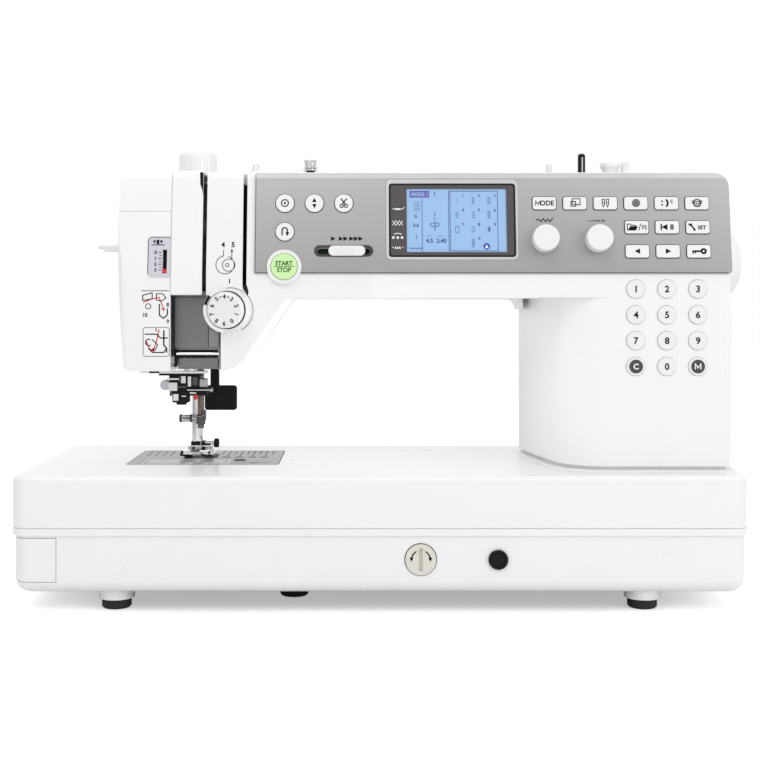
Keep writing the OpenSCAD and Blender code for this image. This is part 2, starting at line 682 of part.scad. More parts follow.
// ---------------------------------------------------------------- frame and drive
beam_low = 268;
beam_high = 284;
pocket_low = [plate_low[0] + 8, plate_low[1] + 4.5];
pocket_high = [plate_high[0] - 8, plate_high[1] - 7];
shelf_z = lower_z + 12.5;
module main_frame() color([0.6, 0.6, 0.62]) difference() {
  union() {
    box([plate_low[0] + 2, plate_low[1] + 2, frame_seat],
      [body_right - 20, plate_high[1] - 2, frame_seat + 7]);
    box([plate_low[0] + 1, plate_low[1] + 1, frame_seat],
      [plate_high[0] - 1, plate_high[1] - 1, bed_top - plate_t]);
    box([column_x, column_front, frame_seat + 7], [column_x + 30, frame_back, beam_high]);
    box([needle_x - 27, frame_front, beam_low], [column_x + 30, frame_back, beam_high]);
    box([needle_x - 27, frame_back - 6, head_bottom + 3.5], [needle_x + 22.6, frame_back, beam_low]);
    box([needle_x - 13, frame_front, head_bottom + 20], [needle_x + 22, frame_back, head_bottom + 28]);
    box([needle_x - 13, needle_y - 8, head_bottom + 4], [needle_x + 22, frame_back, head_bottom + 11]);
    box([needle_x + 20.6, -52, head_bottom + 0.5], [needle_x + 22.6, frame_back, beam_low]);
    box([needle_x - 9.4, -52, head_bottom + 15], [needle_x + 22, -50, recess_z + 3]);
    box([needle_x - 9.4, -46, head_bottom + 0.5], [needle_x + 22, -44, head_bottom + 8]);
    peg_x(needle_x - 9.4, needle_x + 22, -49, head_bottom + 11.5, 1.4);
    box([needle_x + 20.6, needle_y - 12, shaft_z - 10], [needle_x + 32, needle_y + 10, beam_low]);
    peg_x(take_x - 1.2, needle_x + 21, take_y, take_z, 2.5);
    peg_y(lifter_x, frame_back - 1, head_back + 8, lifter_z, 3);
    box([column_x + 28, 20, motor_z - 20], [column_x + 34, motor_y + 17, motor_z + 20]);
    for (s = plate_screws) peg_z(s[0], s[1], shelf_z, bed_top - plate_t, 6);
  }
  difference() {
    box([pocket_low[0], pocket_low[1], frame_seat + 7],
      [pocket_high[0], pocket_high[1], bed_top + 1]);
    box([pocket_low[0] - 1, pocket_low[1] - 1, shelf_z],
      [pocket_high[0] + 1, pocket_high[1] + 1, shelf_z + 4]);
    peg_z(feed_post[0], feed_post[1], shelf_z, bed_top - 14, 6);
  }
  peg_z(hook_x, hook_y, shelf_z - 1, shelf_z + 5, shaft_r + fit);
  peg_z(feed_post[0], feed_post[1], shelf_z - 1, bed_top, 3 + fit);
  peg_x(pocket_high[0] - 1, column_x + 31, lower_y, lower_z, shaft_r + fit);
  peg_x(needle_x + 10, column_x + 31, needle_y, shaft_z, shaft_r + fit);
  peg_z(needle_x, needle_y, head_bottom, beam_low, needle_bar_r + fit);
  peg_z(presser_x, presser_y, head_bottom, beam_low, presser_r + fit);
  peg_z(threader_x, threader_y + 6, head_bottom, beam_low, 2.5 + fit);
  peg_x(column_x + 20, column_x + 40, motor_y, motor_z, 5);
  box([take_x - 1.5, frame_front - 1, take_z + 4], [take_x + 3.2, take_y + 9, beam_high + 1]);
}

take_x = slot_x + 0.6;
take_y = needle_y - 2;
take_z = shaft_z + 13.5;
take_len = 66;
module take_up_lever() color("silver") difference() {
  wide(take_x, take_x + 1.6) {
    translate([take_y, take_z]) circle(r = 5);
    translate([take_y, take_z]) rotate(140) translate([0, -2.6]) square([take_len, 5.2]);
    translate([take_y - take_len * cos(40), take_z + take_len * sin(40)]) circle(r = 3.4);
  }
  wide(take_x - 1, take_x + 3)
    translate([take_y - take_len * cos(40), take_z + take_len * sin(40)]) circle(r = 1.2);
  peg_x(take_x - 2, take_x + 3, take_y, take_z, 2.5 + fit);
}

module upper_shaft() color("silver") {
  peg_x(needle_x + 5.6, wheel_x + 12, needle_y, shaft_z, shaft_r);
  difference() {
    peg_x(needle_x + 5.6, needle_x + 9.6, needle_y, shaft_z, 17);
    box([needle_x, needle_y + 6, shaft_z - 20], [needle_x + 12, needle_y + 20, shaft_z + 20]);
  }
  peg_x(belt_x, belt_x + 10, needle_y, shaft_z, 15);
  peg_x(drive_x, drive_x + 8, needle_y, shaft_z, drive_r);
}
belt_x = column_x + 47;
drive_x = column_x + 65;
module handwheel() color("white") difference() {
  translate([wheel_x, needle_y, shaft_z]) rotate([0, 90, 0]) rotate_extrude($fn = 96) polygon([
    [0, 0], [wheel_r - 3, 0], [wheel_r, 3], [wheel_r, wheel_t * 0.45],
    for (a = [0:9:90]) [(wheel_r - 14) + 14 * cos(a), wheel_t * 0.45 + wheel_t * 0.55 * sin(a)],
    [0, wheel_t]
  ]);
  peg_x(wheel_x - 1, wheel_x + 13, needle_y, shaft_z, shaft_r + fit);
}
module lower_shaft() color("silver") {
  cone_x(hook_x + 4, hook_x + 6, lower_y, lower_z, 7.7, 11.7);
  peg_x(hook_x + 6, belt_x + 14, lower_y, lower_z, shaft_r);
  peg_x(belt_x, belt_x + 10, lower_y, lower_z, 15);
}
module belt_loop(x0, x1, a, ra, b, rb, t) {
  d = norm(b - a);
  ang = atan2(b[1] - a[1], b[0] - a[0]);
  spread = acos((ra - rb) / d);
  function tangent(grow) = [
    for (k = [0:16]) a + (ra + grow) * [cos(ang + spread + (360 - 2 * spread) * k / 16),
                                        sin(ang + spread + (360 - 2 * spread) * k / 16)],
    for (k = [0:12]) b + (rb + grow) * [cos(ang - spread + 2 * spread * k / 12),
                                        sin(ang - spread + 2 * spread * k / 12)]
  ];
  wide(x0, x1) difference() {
    polygon(tangent(t + 0.3));
    polygon(tangent(0.3));
  }
}
motor_y = 43;
motor_z = 126;
drive_r = 24;
pulley_r = 12;
module drive_belts() color([0.15, 0.15, 0.15]) {
  belt_loop(belt_x + 0.5, belt_x + 9.5, [needle_y, shaft_z], 15.1, [lower_y, lower_z], 15.1, 1.6);
  belt_loop(drive_x + 0.5, drive_x + 7.5, [needle_y, shaft_z], drive_r + 0.2, [motor_y, motor_z],
    pulley_r + 0.2, 1.6);
}
module motor() color([0.3, 0.3, 0.32]) difference() {
  union() {
    peg_x(column_x + 34 + 0.05, drive_x - 4, motor_y, motor_z, 17);
    peg_x(column_x + 31, column_x + 35, motor_y, motor_z, 4.8);
  }
  peg_x(drive_x - 20, drive_x, motor_y, motor_z, 2.5 + fit);
}
module motor_pulley() color("silver") {
  peg_x(drive_x - 18, drive_x + 9, motor_y, motor_z, 2.5);
  peg_x(drive_x, drive_x + 8, motor_y, motor_z, pulley_r);
}

hook_top = bed_top - 15.4;
module hook() color("silver") {
  difference() {
    peg_z(hook_x, hook_y, shelf_z + 4.5, hook_top, hook_r);
    peg_z(hook_x, hook_y, shelf_z + 6.5, hook_top + 1, hook_r - 2.2);
  }
  peg_z(hook_x, hook_y, lower_z + 11.7, shelf_z + 5, shaft_r);
  translate([hook_x, hook_y, lower_z + 8]) cylinder(h = 4, r1 = 3.7, r2 = 5.7);
}
case_r = 15;
bobbin_r = 10.2;
module bobbin_case() color([0.15, 0.15, 0.15]) {
  difference() {
    peg_z(hook_x, hook_y, shelf_z + 6.8, bed_top - 6.4, case_r);
    peg_z(hook_x, hook_y, shelf_z + 8.5, bed_top - 5, case_r - 2.2);
  }
  peg_z(hook_x, hook_y, shelf_z + 8, bed_top - 15, 2.9);
}
module bobbin() color([0.8, 0.85, 0.9]) difference() {
  union() {
    peg_z(hook_x, hook_y, shelf_z + 8.8, shelf_z + 9.8, bobbin_r);
    peg_z(hook_x, hook_y, shelf_z + 9.8, shelf_z + 19.4, 5);
    peg_z(hook_x, hook_y, shelf_z + 19.4, shelf_z + 20.4, bobbin_r);
  }
  peg_z(hook_x, hook_y, shelf_z + 8, shelf_z + 21, 2.9 + fit);
}
feed_post = [needle_x + 20, needle_y + 26];
module feed_dog() color("silver") {
  tooth_top = bed_top - 0.2;
  difference() {
    box([needle_x - 13, needle_y - 4.3, bed_top - 10], [needle_x + 13, needle_y + 30, bed_top - 6]);
    box([needle_x - 5, needle_y - 5, bed_top - 11], [needle_x + 5, needle_y + 5, bed_top]);
  }
  box([needle_x + 12, needle_y + 20, bed_top - 10], [feed_post[0] + 3, needle_y + 30, bed_top - 6]);
  peg_z(feed_post[0], feed_post[1], bed_top - 30, bed_top - 8, 3);
  for (row = tooth_rows) {
    box([row[0], row[1], bed_top - 7], [row[2], row[3], tooth_top - 1]);
    wide(row[0], row[2]) polygon([
      [row[1], tooth_top - 1.2],
      for (k = [0:2 * floor((row[3] - row[1]) / 2) - 1])
        [row[1] + k, k % 2 == 0 ? tooth_top : tooth_top - 0.9],
      [row[3], tooth_top - 0.9],
      [row[3], tooth_top - 1.2]
    ]);
  }
}

// ---------------------------------------------------------------- needle area
bar_bottom = bed_top + 22.9;
clamp_r = 3.9;
module needle_bar() color("silver") difference() {
  peg_z(needle_x, needle_y, bar_bottom, head_bottom + 62, needle_bar_r);
  peg_z(needle_x, needle_y, bar_bottom - 1, bar_bottom + 12, 1.05);
}
module needle_clamp() color("silver") difference() {
  union() {
    peg_z(needle_x, needle_y, bar_bottom + 3, bar_bottom + 11, clamp_r);
    peg_x(needle_x - 16.4, needle_x - 3, needle_y, bar_bottom + 7.7, 3.2);
    box([needle_x + 3, needle_y - 2, bar_bottom + 4], [needle_x + 6, needle_y + 2, bar_bottom + 10]);
  }
  peg_z(needle_x, needle_y, bar_bottom, bar_bottom + 12, needle_bar_r + fit);
}
module needle() color("silver") {
  peg_z(needle_x, needle_y, bar_bottom - 6, bar_bottom + 9, 1);
  peg_z(needle_x, needle_y, bar_bottom - 25, bar_bottom - 6, 0.5);
  translate([needle_x, needle_y, bar_bottom - 28.3]) cylinder(h = 3.3, r1 = 0.05, r2 = 0.5);
}
sole = bed_top + 1;
pin_z = sole + 5.5;
pin_y = needle_y + 8;
module presser_bar() color("silver") peg_z(presser_x, presser_y, sole + 8, head_bottom + 62, presser_r);
module foot_holder() color([0.25, 0.25, 0.25]) difference() {
  union() {
    box([presser_x - 5.5, presser_y - 6, sole + 7], [presser_x + 6, presser_y + 5.5, sole + 11]);
    box([presser_x - 4, presser_y - 6, pin_z - 2.2], [presser_x + 10, presser_y + 2, sole + 8]);
    peg_x(presser_x + 5, needle_x + 10, presser_y, sole + 9.2, 1.6);
    peg_x(needle_x + 9.2, needle_x + 13.2, presser_y, sole + 9.2, 4);
  }
  peg_z(presser_x, presser_y, sole + 8, sole + 18, presser_r + fit);
  peg_x(presser_x - 5, presser_x + 11, pin_y, pin_z, 1.3);
  box([presser_x - 5, pin_y - 1, pin_z - 4], [presser_x + 11, pin_y + 1, pin_z]);
  box([needle_x - 5, needle_y - 5, 0], [needle_x + 5, needle_y + clamp_r + 0.3, bed_top * 2]);
}
foot_w = 24;
toe_y = needle_y - 8.6;
foot_x0 = needle_x - 13.5;
module presser_foot() color("silver") difference() {
  union() {
    difference() {
      wide(foot_x0, foot_x0 + foot_w) outline([
        [toe_y, sole + 2, 0.5], [toe_y + 4.4, sole, 2], [needle_y + 18, sole, 1],
        [needle_y + 18, sole + 1.8, 0.5], [toe_y + 5, sole + 1.8, 1], [toe_y + 0.6, sole + 3.6, 0.5]
      ]);
      box([foot_x0 + 8, toe_y - 1, 0], [foot_x0 + foot_w - 8, needle_y - 3, bed_top * 2]);
    }
    for (x = [presser_x - 7.6, presser_x + 10.2])
      box([x, pin_y - 4, sole + 1], [x + 2, pin_y + 4, pin_z + 2]);
    peg_x(presser_x - 6, presser_x + 11, pin_y, pin_z, 1.2);
  }
  box([needle_x - 4.5, needle_y - 1.6, 0], [needle_x + 4.5, needle_y + 1.6, sole + 4]);
}

lifter_x = needle_x + 7.4;
lifter_z = head_bottom + 7;
module lifter_lever() color([0.12, 0.12, 0.12]) difference() {
  deep(head_back + 1, head_back + 5) union() {
    translate([lifter_x, lifter_z]) circle(r = 6);
    translate([lifter_x - 3.4, lifter_z - 26]) square([7, 26]);
    translate([lifter_x, lifter_z]) round_rect(-8, -44, 18, -24, 2.4);
  }
  peg_y(lifter_x, head_back, head_back + 9, lifter_z, 3 + fit);
}

threader_x = needle_x - 8.4;
threader_y = -14;
threader_z = 257;
module threader() color([0.3, 0.3, 0.3]) union() {
  box([head_left - 24, threader_y - 4, threader_z + 0.5], [head_left + 6, threader_y + 4, threader_z + 4]);
  box([head_left - 17.5, threader_y - 4, threader_z - 4], [head_left + 6, threader_y + 4, threader_z + 1]);
  box([head_left + 5, threader_y - 3, threader_z - 3], [threader_x + 2.4, threader_y + 8, threader_z + 3]);
  peg_z(threader_x, threader_y + 6, head_bottom - 10, threader_z, 2.5);
  box([needle_x - 14, threader_y + 1, head_bottom - 29], [needle_x + 10, threader_y + 11, head_bottom - 6]);
  box([needle_x - 36, threader_y + 1, head_bottom - 6.2], [needle_x + 6, threader_y + 11, head_bottom - 3.4]);
  peg_y(needle_x - 27, threader_y + 2, threader_y + 10, head_bottom - 14, 4);
  box([needle_x - 28, threader_y + 4, head_bottom - 15.6], [needle_x - 12, threader_y + 8, head_bottom - 11.6]);
}

// ---------------------------------------------------------------- top, side and back
module pressure_dial() color("white") {
  peg_z(presser_x, presser_y, body_top + slack, body_top + 23, 15);
  peg_z(presser_x, presser_y, body_top - wall - 6, body_top + 1, 3);
}
module spool_pin() color("white") {
  peg_z(spool_x, spool_y, body_top - wall - 2, body_top + 16, 2.4);
  peg_x(well_low[0] + 12, well_high[0], spool_y, spool_z, 2.8);
}
module spool_cap() color("white") difference() {
  union() {
    peg_x(well_low[0] + 16, well_low[0] + 19, spool_y, spool_z, 14);
    peg_x(well_low[0] + 19, well_low[0] + 30, spool_y, spool_z, 5);
  }
  peg_x(well_low[0], well_low[0] + 31, spool_y, spool_z, 2.8 + fit);
}
guide_places = [[needle_x + 86.2, 10], [needle_x + 41, 10]];
module thread_guides() color("silver") {
  peg_z(guide_places[0][0], guide_places[0][1], body_top - wall - 1, body_top + 0.2, 1.5);
  peg_z(guide_places[0][0], guide_places[0][1], body_top, body_top + 13, 4);
  translate([guide_places[0][0], guide_places[0][1], body_top + 13]) cylinder(h = 3, r1 = 4, r2 = 5.1);
  peg_z(guide_places[1][0], guide_places[1][1], body_top - wall - 1, body_top + 15, 1.5);
  peg_z(guide_places[1][0], guide_places[1][1], body_top, body_top + 1.5, 3);
}
winder_x = 160.1;
winder_y = 10;
stopper_x = winder_x + 22.3;
module winder_spindle() color([0.3, 0.3, 0.3]) {
  peg_z(winder_x, winder_y, body_top - wall - 10, body_top + 21.4, 3);
  peg_z(winder_x, winder_y, body_top + slack, body_top + 2.5, 7);
}
module winder_stopper() color("white") {
  peg_z(stopper_x, winder_y, body_top - wall - 1, body_top + 0.1, 1.9);
  translate([stopper_x, winder_y, body_top]) cylinder(h = 10.4, r1 = 5, r2 = 7);
  peg_z(stopper_x, winder_y, body_top + 10.4, body_top + 14, 7.8);
  box([stopper_x + 9.4, winder_y - 5, body_top], [stopper_x + 14, winder_y + 5, body_top + 15]);
  box([stopper_x + 4, winder_y - 3, body_top], [stopper_x + 10, winder_y + 3, body_top + 3]);
}
inlet_y = 34;
inlet_z = tower_bottom + 22;
switch_z = inlet_z + 34;
module power_cuts() {
  box([body_right - wall - 1, inlet_y - 14 - slack, inlet_z - 11 - slack],
    [body_right + 1, inlet_y + 14 + slack, inlet_z + 11 + slack]);
  box([body_right - wall - 1, inlet_y - 11 - slack, switch_z - 9 - slack],
    [body_right + 1, inlet_y + 11 + slack, switch_z + 9 + slack]);
}
module power_inlet() color([0.1, 0.1, 0.1]) difference() {
  box([body_right - 24, inlet_y - 14, inlet_z - 11], [body_right + 0.4, inlet_y + 14, inlet_z + 11]);
  box([body_right - 16, inlet_y - 10, inlet_z - 7], [body_right + 1, inlet_y + 10, inlet_z + 7]);
}
module power_switch() color([0.1, 0.1, 0.1]) {
  intersection() {
    peg_y(body_right - 8, inlet_y - 10.5, inlet_y + 10.5, switch_z, 11);
    box([body_right - 8, inlet_y - 11, switch_z - 7.6], [body_right + 4, inlet_y + 11, switch_z + 7.6]);
  }
  peg_y(body_right - 8, inlet_y - 10.5, inlet_y + 10.5, switch_z, 4);
}
module screws() color("silver") {
  for (s = plate_screws) {
    peg_z(s[0], s[1], bed_top - 1.1, bed_top - 0.1, 3.2);
    peg_z(s[0], s[1], bed_top - plate_t + 0.05, bed_top - 1, 1.6);
  }
  for (s = back_screws) {
    peg_y(s[0], body_back - 1.5, body_back - 0.2, s[1], 3.2);
    peg_y(s[0], body_back - wall - 5, body_back - 1.2, s[1], 1.6);
  }
}

place() bed_base();
place() bed_cover();
place() bed_end_cap();
place() feet();
place() main_frame();
place() front_cover();
place() rear_cover();
place() head_cap();
place() face_cover();
place() take_up_cover();
place() control_panel();
place() display();
place() circuit_board();
place() needle_plate();
place() bobbin_cover();
place() tension_dial();
place() carry_handle();
place() pressure_dial();
place() pressure_marker();
place() spool_pin();
place() spool_cap();
place() thread_guides();
place() winder_spindle();
place() winder_stopper();
place() handwheel();
place() upper_shaft();
place() needle_bar();
place() needle_clamp();
place() needle();
place() presser_bar();
place() foot_holder();
place() presser_foot();
place() lifter_lever();
place() threader();
place() take_up_lever();
place() lamp();
place() feed_dog();
place() hook();
place() bobbin_case();
place() bobbin();
place() lower_shaft();
place() drive_belts();
place() motor();
place() motor_pulley();
place() speed_slider();
place() width_knob();
place() length_knob();
place() feed_dial();
place() knee_socket();
place() power_switch();
place() power_inlet();
place() screws();
place() start_button();
place() lock_button();
place() needle_button();
place() cutter_button();
place() reverse_button();
place() function_keys_top();
place() function_keys_side();
place() number_keys();
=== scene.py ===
"""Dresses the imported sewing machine: materials, prints, small mechanical pieces, camera and light."""
import math

import bmesh
import bpy
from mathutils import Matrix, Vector


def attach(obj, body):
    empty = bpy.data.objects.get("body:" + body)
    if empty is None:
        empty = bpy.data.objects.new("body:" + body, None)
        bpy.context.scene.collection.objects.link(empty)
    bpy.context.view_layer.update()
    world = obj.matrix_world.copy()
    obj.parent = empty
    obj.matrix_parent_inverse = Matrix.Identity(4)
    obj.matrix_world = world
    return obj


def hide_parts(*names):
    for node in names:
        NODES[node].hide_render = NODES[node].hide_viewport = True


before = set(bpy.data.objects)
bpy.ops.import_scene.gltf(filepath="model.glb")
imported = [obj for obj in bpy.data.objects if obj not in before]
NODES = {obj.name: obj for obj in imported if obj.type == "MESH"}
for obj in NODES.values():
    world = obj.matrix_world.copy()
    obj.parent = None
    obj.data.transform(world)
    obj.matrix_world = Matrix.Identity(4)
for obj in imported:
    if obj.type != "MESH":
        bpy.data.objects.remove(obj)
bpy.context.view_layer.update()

MM = 0.001
SHIFT_X = 11.25          # X is from the bed's middle; the CAD's own zero is the middle of its box
LEAN = math.radians(8)
FRONT_Y = -68            # front of arm, head and tower
KINK_Z = 238             # where the front starts to lean back
TOP_Z = 313              # top of the arm
BED_TOP = 96.4
BED_FRONT = -97.5
NEEDLE = (-138.6, 12)
SOLE = 97.4              # underside of the presser foot
INK = 1.45               # printed lines are this much wider than their drawing
DIAL_LEAN = 12           # the tension dial leans this many degrees to the left
UP, DOWN, LEFT, RIGHT, FORWARD = (0, 0, 1), (0, 0, -1), (-1, 0, 0), (1, 0, 0), (0, -1, 0)


# ------------ places and outlines, all in mm
def polar(r, degrees):
    a = math.radians(degrees)
    return r * math.cos(a), r * math.sin(a)


def bed(x, y, z):
    """A point given from the middle of the bed."""
    return Vector(((x - SHIFT_X) * MM, y * MM, z * MM))


def on_panel(x, v, w=0):
    """x across, v up the leaning front, w out of it."""
    c, s = math.cos(LEAN), math.sin(LEAN)
    return bed(x, FRONT_Y - w * c + v * s, KINK_Z + w * s + v * c)


def on_silver(x, v, w=0):
    return on_panel(x, v, 1.6 + w)


def on_front(x, z, w=0):
    return bed(x, FRONT_Y - w, z)


def on_bed_front(x, z, w=0):
    return bed(x, BED_FRONT + 1.5 - w, z)


def on_bed_top(x, y, w=0):
    return bed(x, y, BED_TOP + w)


def moved(place, u0, v0, w0=0, turn=0, scale=1):
    """A place with its own middle, turned by some degrees."""
    c, s = polar(scale, turn)
    return lambda u, v, w=0: place(u0 + u * c - v * s, v0 + u * s + v * c, w0 + w)


def unit(d):
    n = math.hypot(*d)
    return (d[0] / n, d[1] / n) if n > 1e-9 else None


def arc_points(u, v, r, start, sweep, count):
    steps = [polar(r, start + sweep * k / count) for k in range(count + 1)]
    return [(u + a, v + b) for a, b in steps]


def ring2(u, v, r, n=40):
    return arc_points(u, v, r, 0, 360, n)[:-1]


def bar(u0, v0, u1, v1):
    return [(u0, v0), (u1, v0), (u1, v1), (u0, v1)]


def rounded(u0, v0, u1, v1, r, n=6):
    """The outline of a rectangle with round corners."""
    corners = ((u1 - r, v1 - r, 0), (u0 + r, v1 - r, 90), (u0 + r, v0 + r, 180), (u1 - r, v0 + r, 270))
    return [p for u, v, start in corners for p in arc_points(u, v, r, start, 90, n)]


def around(middle, half_u, half_v, r, n=6):
    """The same outline, given by its middle and half its sizes."""
    u, v = middle
    return rounded(u - half_u, v - half_v, u + half_u, v + half_v, r, n)


# ------------ materials
def give(made, **values):
    """Sets a node's own settings, or else the inputs with these names."""
    for key, value in values.items():
        if hasattr(made, key):
            setattr(made, key, value)
        else:
            made.inputs[key.replace("_", " ")].default_value = value


def wire(tree, made, wires):
    """Connects a node: wires gives the (node, output) that feeds each input."""
    for key, (source, output) in wires.items():
        tree.links.new(source.outputs[output], made.inputs[key])


def node(tree, kind, wires=None, **values):
    made = tree.nodes.new("ShaderNode" + kind)
    give(made, **values)
    wire(tree, made, wires or {})
    return made


def material(name, colour, rough, metal=0, coat=0, mottle=0.02, mottle_scale=60, grain=0,
             grain_scale=2500, spread=0.06, brushed=None, alpha=1, ior=1.45, glow=0, fade=None, spec=0.5):
    """A procedural surface: colour and roughness drift a little, fine grain or brushing gives bump, and the
    colour can be darkened towards low heights as painted shade.
    """
    made = bpy.data.materials.new(name)
    made.use_nodes = True
    tree = made.node_tree
    shader = tree.nodes["Principled BSDF"]
    give(shader, Metallic=metal, Coat_Weight=coat, Coat_Roughness=0.12, IOR=ior, Alpha=alpha,
         Specular_IOR_Level=spec)
    if glow:
        give(shader, Emission_Color=list(colour) + [1], Emission_Strength=glow)
    coords = (node(tree, "TexCoord"), "Object")
    cloud = (node(tree, "TexNoise", {"Vector": coords}, Scale=mottle_scale, Detail=4), "Fac")
    mix = node(tree, "Mix", {"Factor": cloud}, data_type="RGBA", A=[c * (1 - mottle) for c in colour] + [1],
               B=[min(c * (1 + mottle), 1) for c in colour] + [1])
    tone = (mix, "Result")
    span = node(tree, "MapRange", {"Value": cloud}, To_Min=max(rough - spread, 0.02),
                To_Max=min(rough + spread, 1))
    if brushed:
        stretch = node(tree, "Mapping", {"Vector": coords}, Scale=brushed)
        fine = node(tree, "TexNoise", {"Vector": (stretch, "Vector")}, Scale=1, Detail=3)
        grey = node(tree, "RGBToBW", {"Color": (fine, "Color")})
        bright = node(tree, "MapRange", {"Value": (grey, "Val")}, To_Min=0.75, To_Max=1.25)
        tint = node(tree, "Mix", {"A": tone, "B": (bright, "Result")}, data_type="RGBA",
                    blend_type="MULTIPLY", Factor=0.35)
        tone = (tint, "Result")
    else:
        fine = node(tree, "TexNoise", {"Vector": coords}, Scale=grain_scale, Detail=2)
    if grain:
        bump = node(tree, "Bump", {"Height": (fine, "Fac")}, Strength=grain, Distance=0.0002)
        wire(tree, shader, {"Normal": (bump, "Normal")})
    # painted shade: the colour is darkened towards the bottom, from full at high down to least at low
    if fade:
        low, high, least = fade
        split = node(tree, "SeparateXYZ", {"Vector": coords})
        height = node(tree, "MapRange", {"Value": (split, "Z")}, From_Min=low, From_Max=high,
                      To_Min=least, To_Max=1)
        shade = node(tree, "VectorMath", {0: tone, "Scale": (height, "Result")}, operation="SCALE")
        tone = (shade, "Vector")
    wire(tree, shader, {"Base Color": tone, "Roughness": (span, "Result")})
    return made


M = {}       # the material of each look


def look(key, slot, *values, **more):
    M[key] = material(key, *values, **more)


look("shell", "white_shell", (0.86, 0.86, 0.865), 0.3, coat=0.25, grain=0.05, grain_scale=1500, mottle=0.012)
# the silver panel's colour is painted darker towards its bottom: painted shade
look("silver", "silver_panel", (0.42, 0.42, 0.417), 0.36, metal=0.35, grain=0.1, grain_scale=5000,
     mottle_scale=14, spread=0.03, fade=(0.242, 0.305, 0.8))
look("silver_light", "silver_panel", (0.56, 0.56, 0.555), 0.33, metal=0.35, grain=0.1, grain_scale=5000,
     mottle=0.03)
look("button", "button_white", (0.82, 0.82, 0.81), 0.34, coat=0.2, grain=0.04, mottle=0.012)
look("start", "start_green", (0.6, 0.86, 0.42), 0.34, coat=0.2, grain=0.04)
look("beige", "beige", (0.71, 0.69, 0.62), 0.42, grain=0.08)
look("black", "black_plastic", (0.006, 0.006, 0.007), 0.42, grain=0.08, grain_scale=3000, mottle=0.2,
     spec=0.22)
look("rubber", "rubber", (0.015, 0.015, 0.015), 0.72, grain=0.3, grain_scale=4000, mottle=0.25)
look("steel", "steel", (0.42, 0.42, 0.42), 0.34, metal=0.9, grain=0.12, brushed=(60, 6000, 6000), mottle=0.05)
look("plate_steel", "steel", (0.34, 0.34, 0.345), 0.38, metal=0.85, grain=0.1, brushed=(90, 5000, 5000),
     mottle=0.04)
look("frame_metal", "cast_metal", (0.3, 0.3, 0.31), 0.45, metal=0.6, grain=0.25, grain_scale=1800,
     mottle=0.08, mottle_scale=90)
look("plate_grey", "steel", (0.2, 0.2, 0.205), 0.36, metal=0.8, grain=0.12, brushed=(60, 6000, 6000),
     mottle=0.06)
look("bright", "chrome", (0.86, 0.86, 0.87), 0.1, metal=1, spread=0.04, grain=0.02)
look("chrome", "chrome", (0.62, 0.62, 0.63), 0.14, metal=1, mottle=0.03, spread=0.05, grain=0.03)
look("dark_steel", "steel", (0.1, 0.095, 0.09), 0.3, metal=0.8, mottle=0.1, grain=0.08)
look("brown_bar", "chrome", (0.16, 0.14, 0.12), 0.24, metal=0.9, mottle=0.1, brushed=(4000, 4000, 60),
     grain=0.06)
look("clear", "clear", (0.86, 0.88, 0.89), 0.12, alpha=0.55, ior=1.46, coat=0.4)
look("red", "red", (0.62, 0.02, 0.02), 0.4, mottle=0.06, grain=0.04)
look("board", "board", (0.02, 0.1, 0.03), 0.5, mottle=0.3, mottle_scale=900, grain=0.1)
look("lens", "lens", (0.9, 0.9, 0.84), 0.25, grain=0.1, grain_scale=900, glow=0.15)
look("bezel", "grey_plastic", (0.055, 0.047, 0.05), 0.3, coat=0.4, mottle=0.06, grain=0.05)
look("gauge", "silver_panel", (0.6, 0.6, 0.66), 0.4, grain=0.04)
look("slot", "grey_plastic", (0.075, 0.075, 0.07), 0.6, mottle=0.15, grain=0.1, spec=0.1)
look("lcd", "clear", (0.285, 0.465, 0.72), 0.22, coat=0.3, mottle_scale=30, glow=0.1)
look("thread_black", "rubber", (0.02, 0.02, 0.02), 0.65, mottle=0.2, grain=0.3)
for ink, colour in (("lcd_ink", (0.04, 0.06, 0.2)), ("lcd_box", (0.13, 0.1, 0.42)),
                    ("lcd_blue", (0.02, 0.06, 0.4))):
    look(ink, "grey_plastic", colour, 0.35, mottle=0.05)
for ink, slot, colour, drift in (
        ("print_grey", "grey_plastic", (0.085, 0.085, 0.09), 0.05),
        ("print_dark", "black_plastic", (0.014, 0.014, 0.016), 0.05),
        ("print_light", "grey_plastic", (0.25, 0.25, 0.25), 0.05),
        ("print_pale", "grey_plastic", (0.5, 0.5, 0.5), 0.03),
        ("print_white", "button_white", (0.86, 0.86, 0.85), 0.02),
        ("print_red", "red", (0.6, 0.03, 0.02), 0.05),
        ("print_green", "black_plastic", (0.03, 0.13, 0.02), 0.05)):
    look(ink, slot, colour, 0.5, mottle=drift, spec=0)


# ------------ building
def add(name, data, place=(0, 0, 0), turn=(0, 0, 0)):
    """Puts a mesh, a text, a lamp or the camera into the scene."""
    made = bpy.data.objects.new(name, data)
    made.location, made.rotation_euler = place, turn
    bpy.context.scene.collection.objects.link(made)
    return made


def soften(piece, width, segments, angle, harden=False):
    """Shades smoothly and rounds the edges by a width, or keeps them hard."""
    for face in piece.data.polygons:
        face.use_smooth = True
    if width:
        soft = piece.modifiers.new("soft_edges", "BEVEL")
        soft.width, soft.segments, soft.harden_normals = width * MM, segments, harden
        soft.limit_method, soft.angle_limit = "ANGLE", math.radians(angle)
        soft.miter_outer = "MITER_ARC"
    else:
        split = piece.modifiers.new("hard_edges", "EDGE_SPLIT")
        split.split_angle = math.radians(angle)


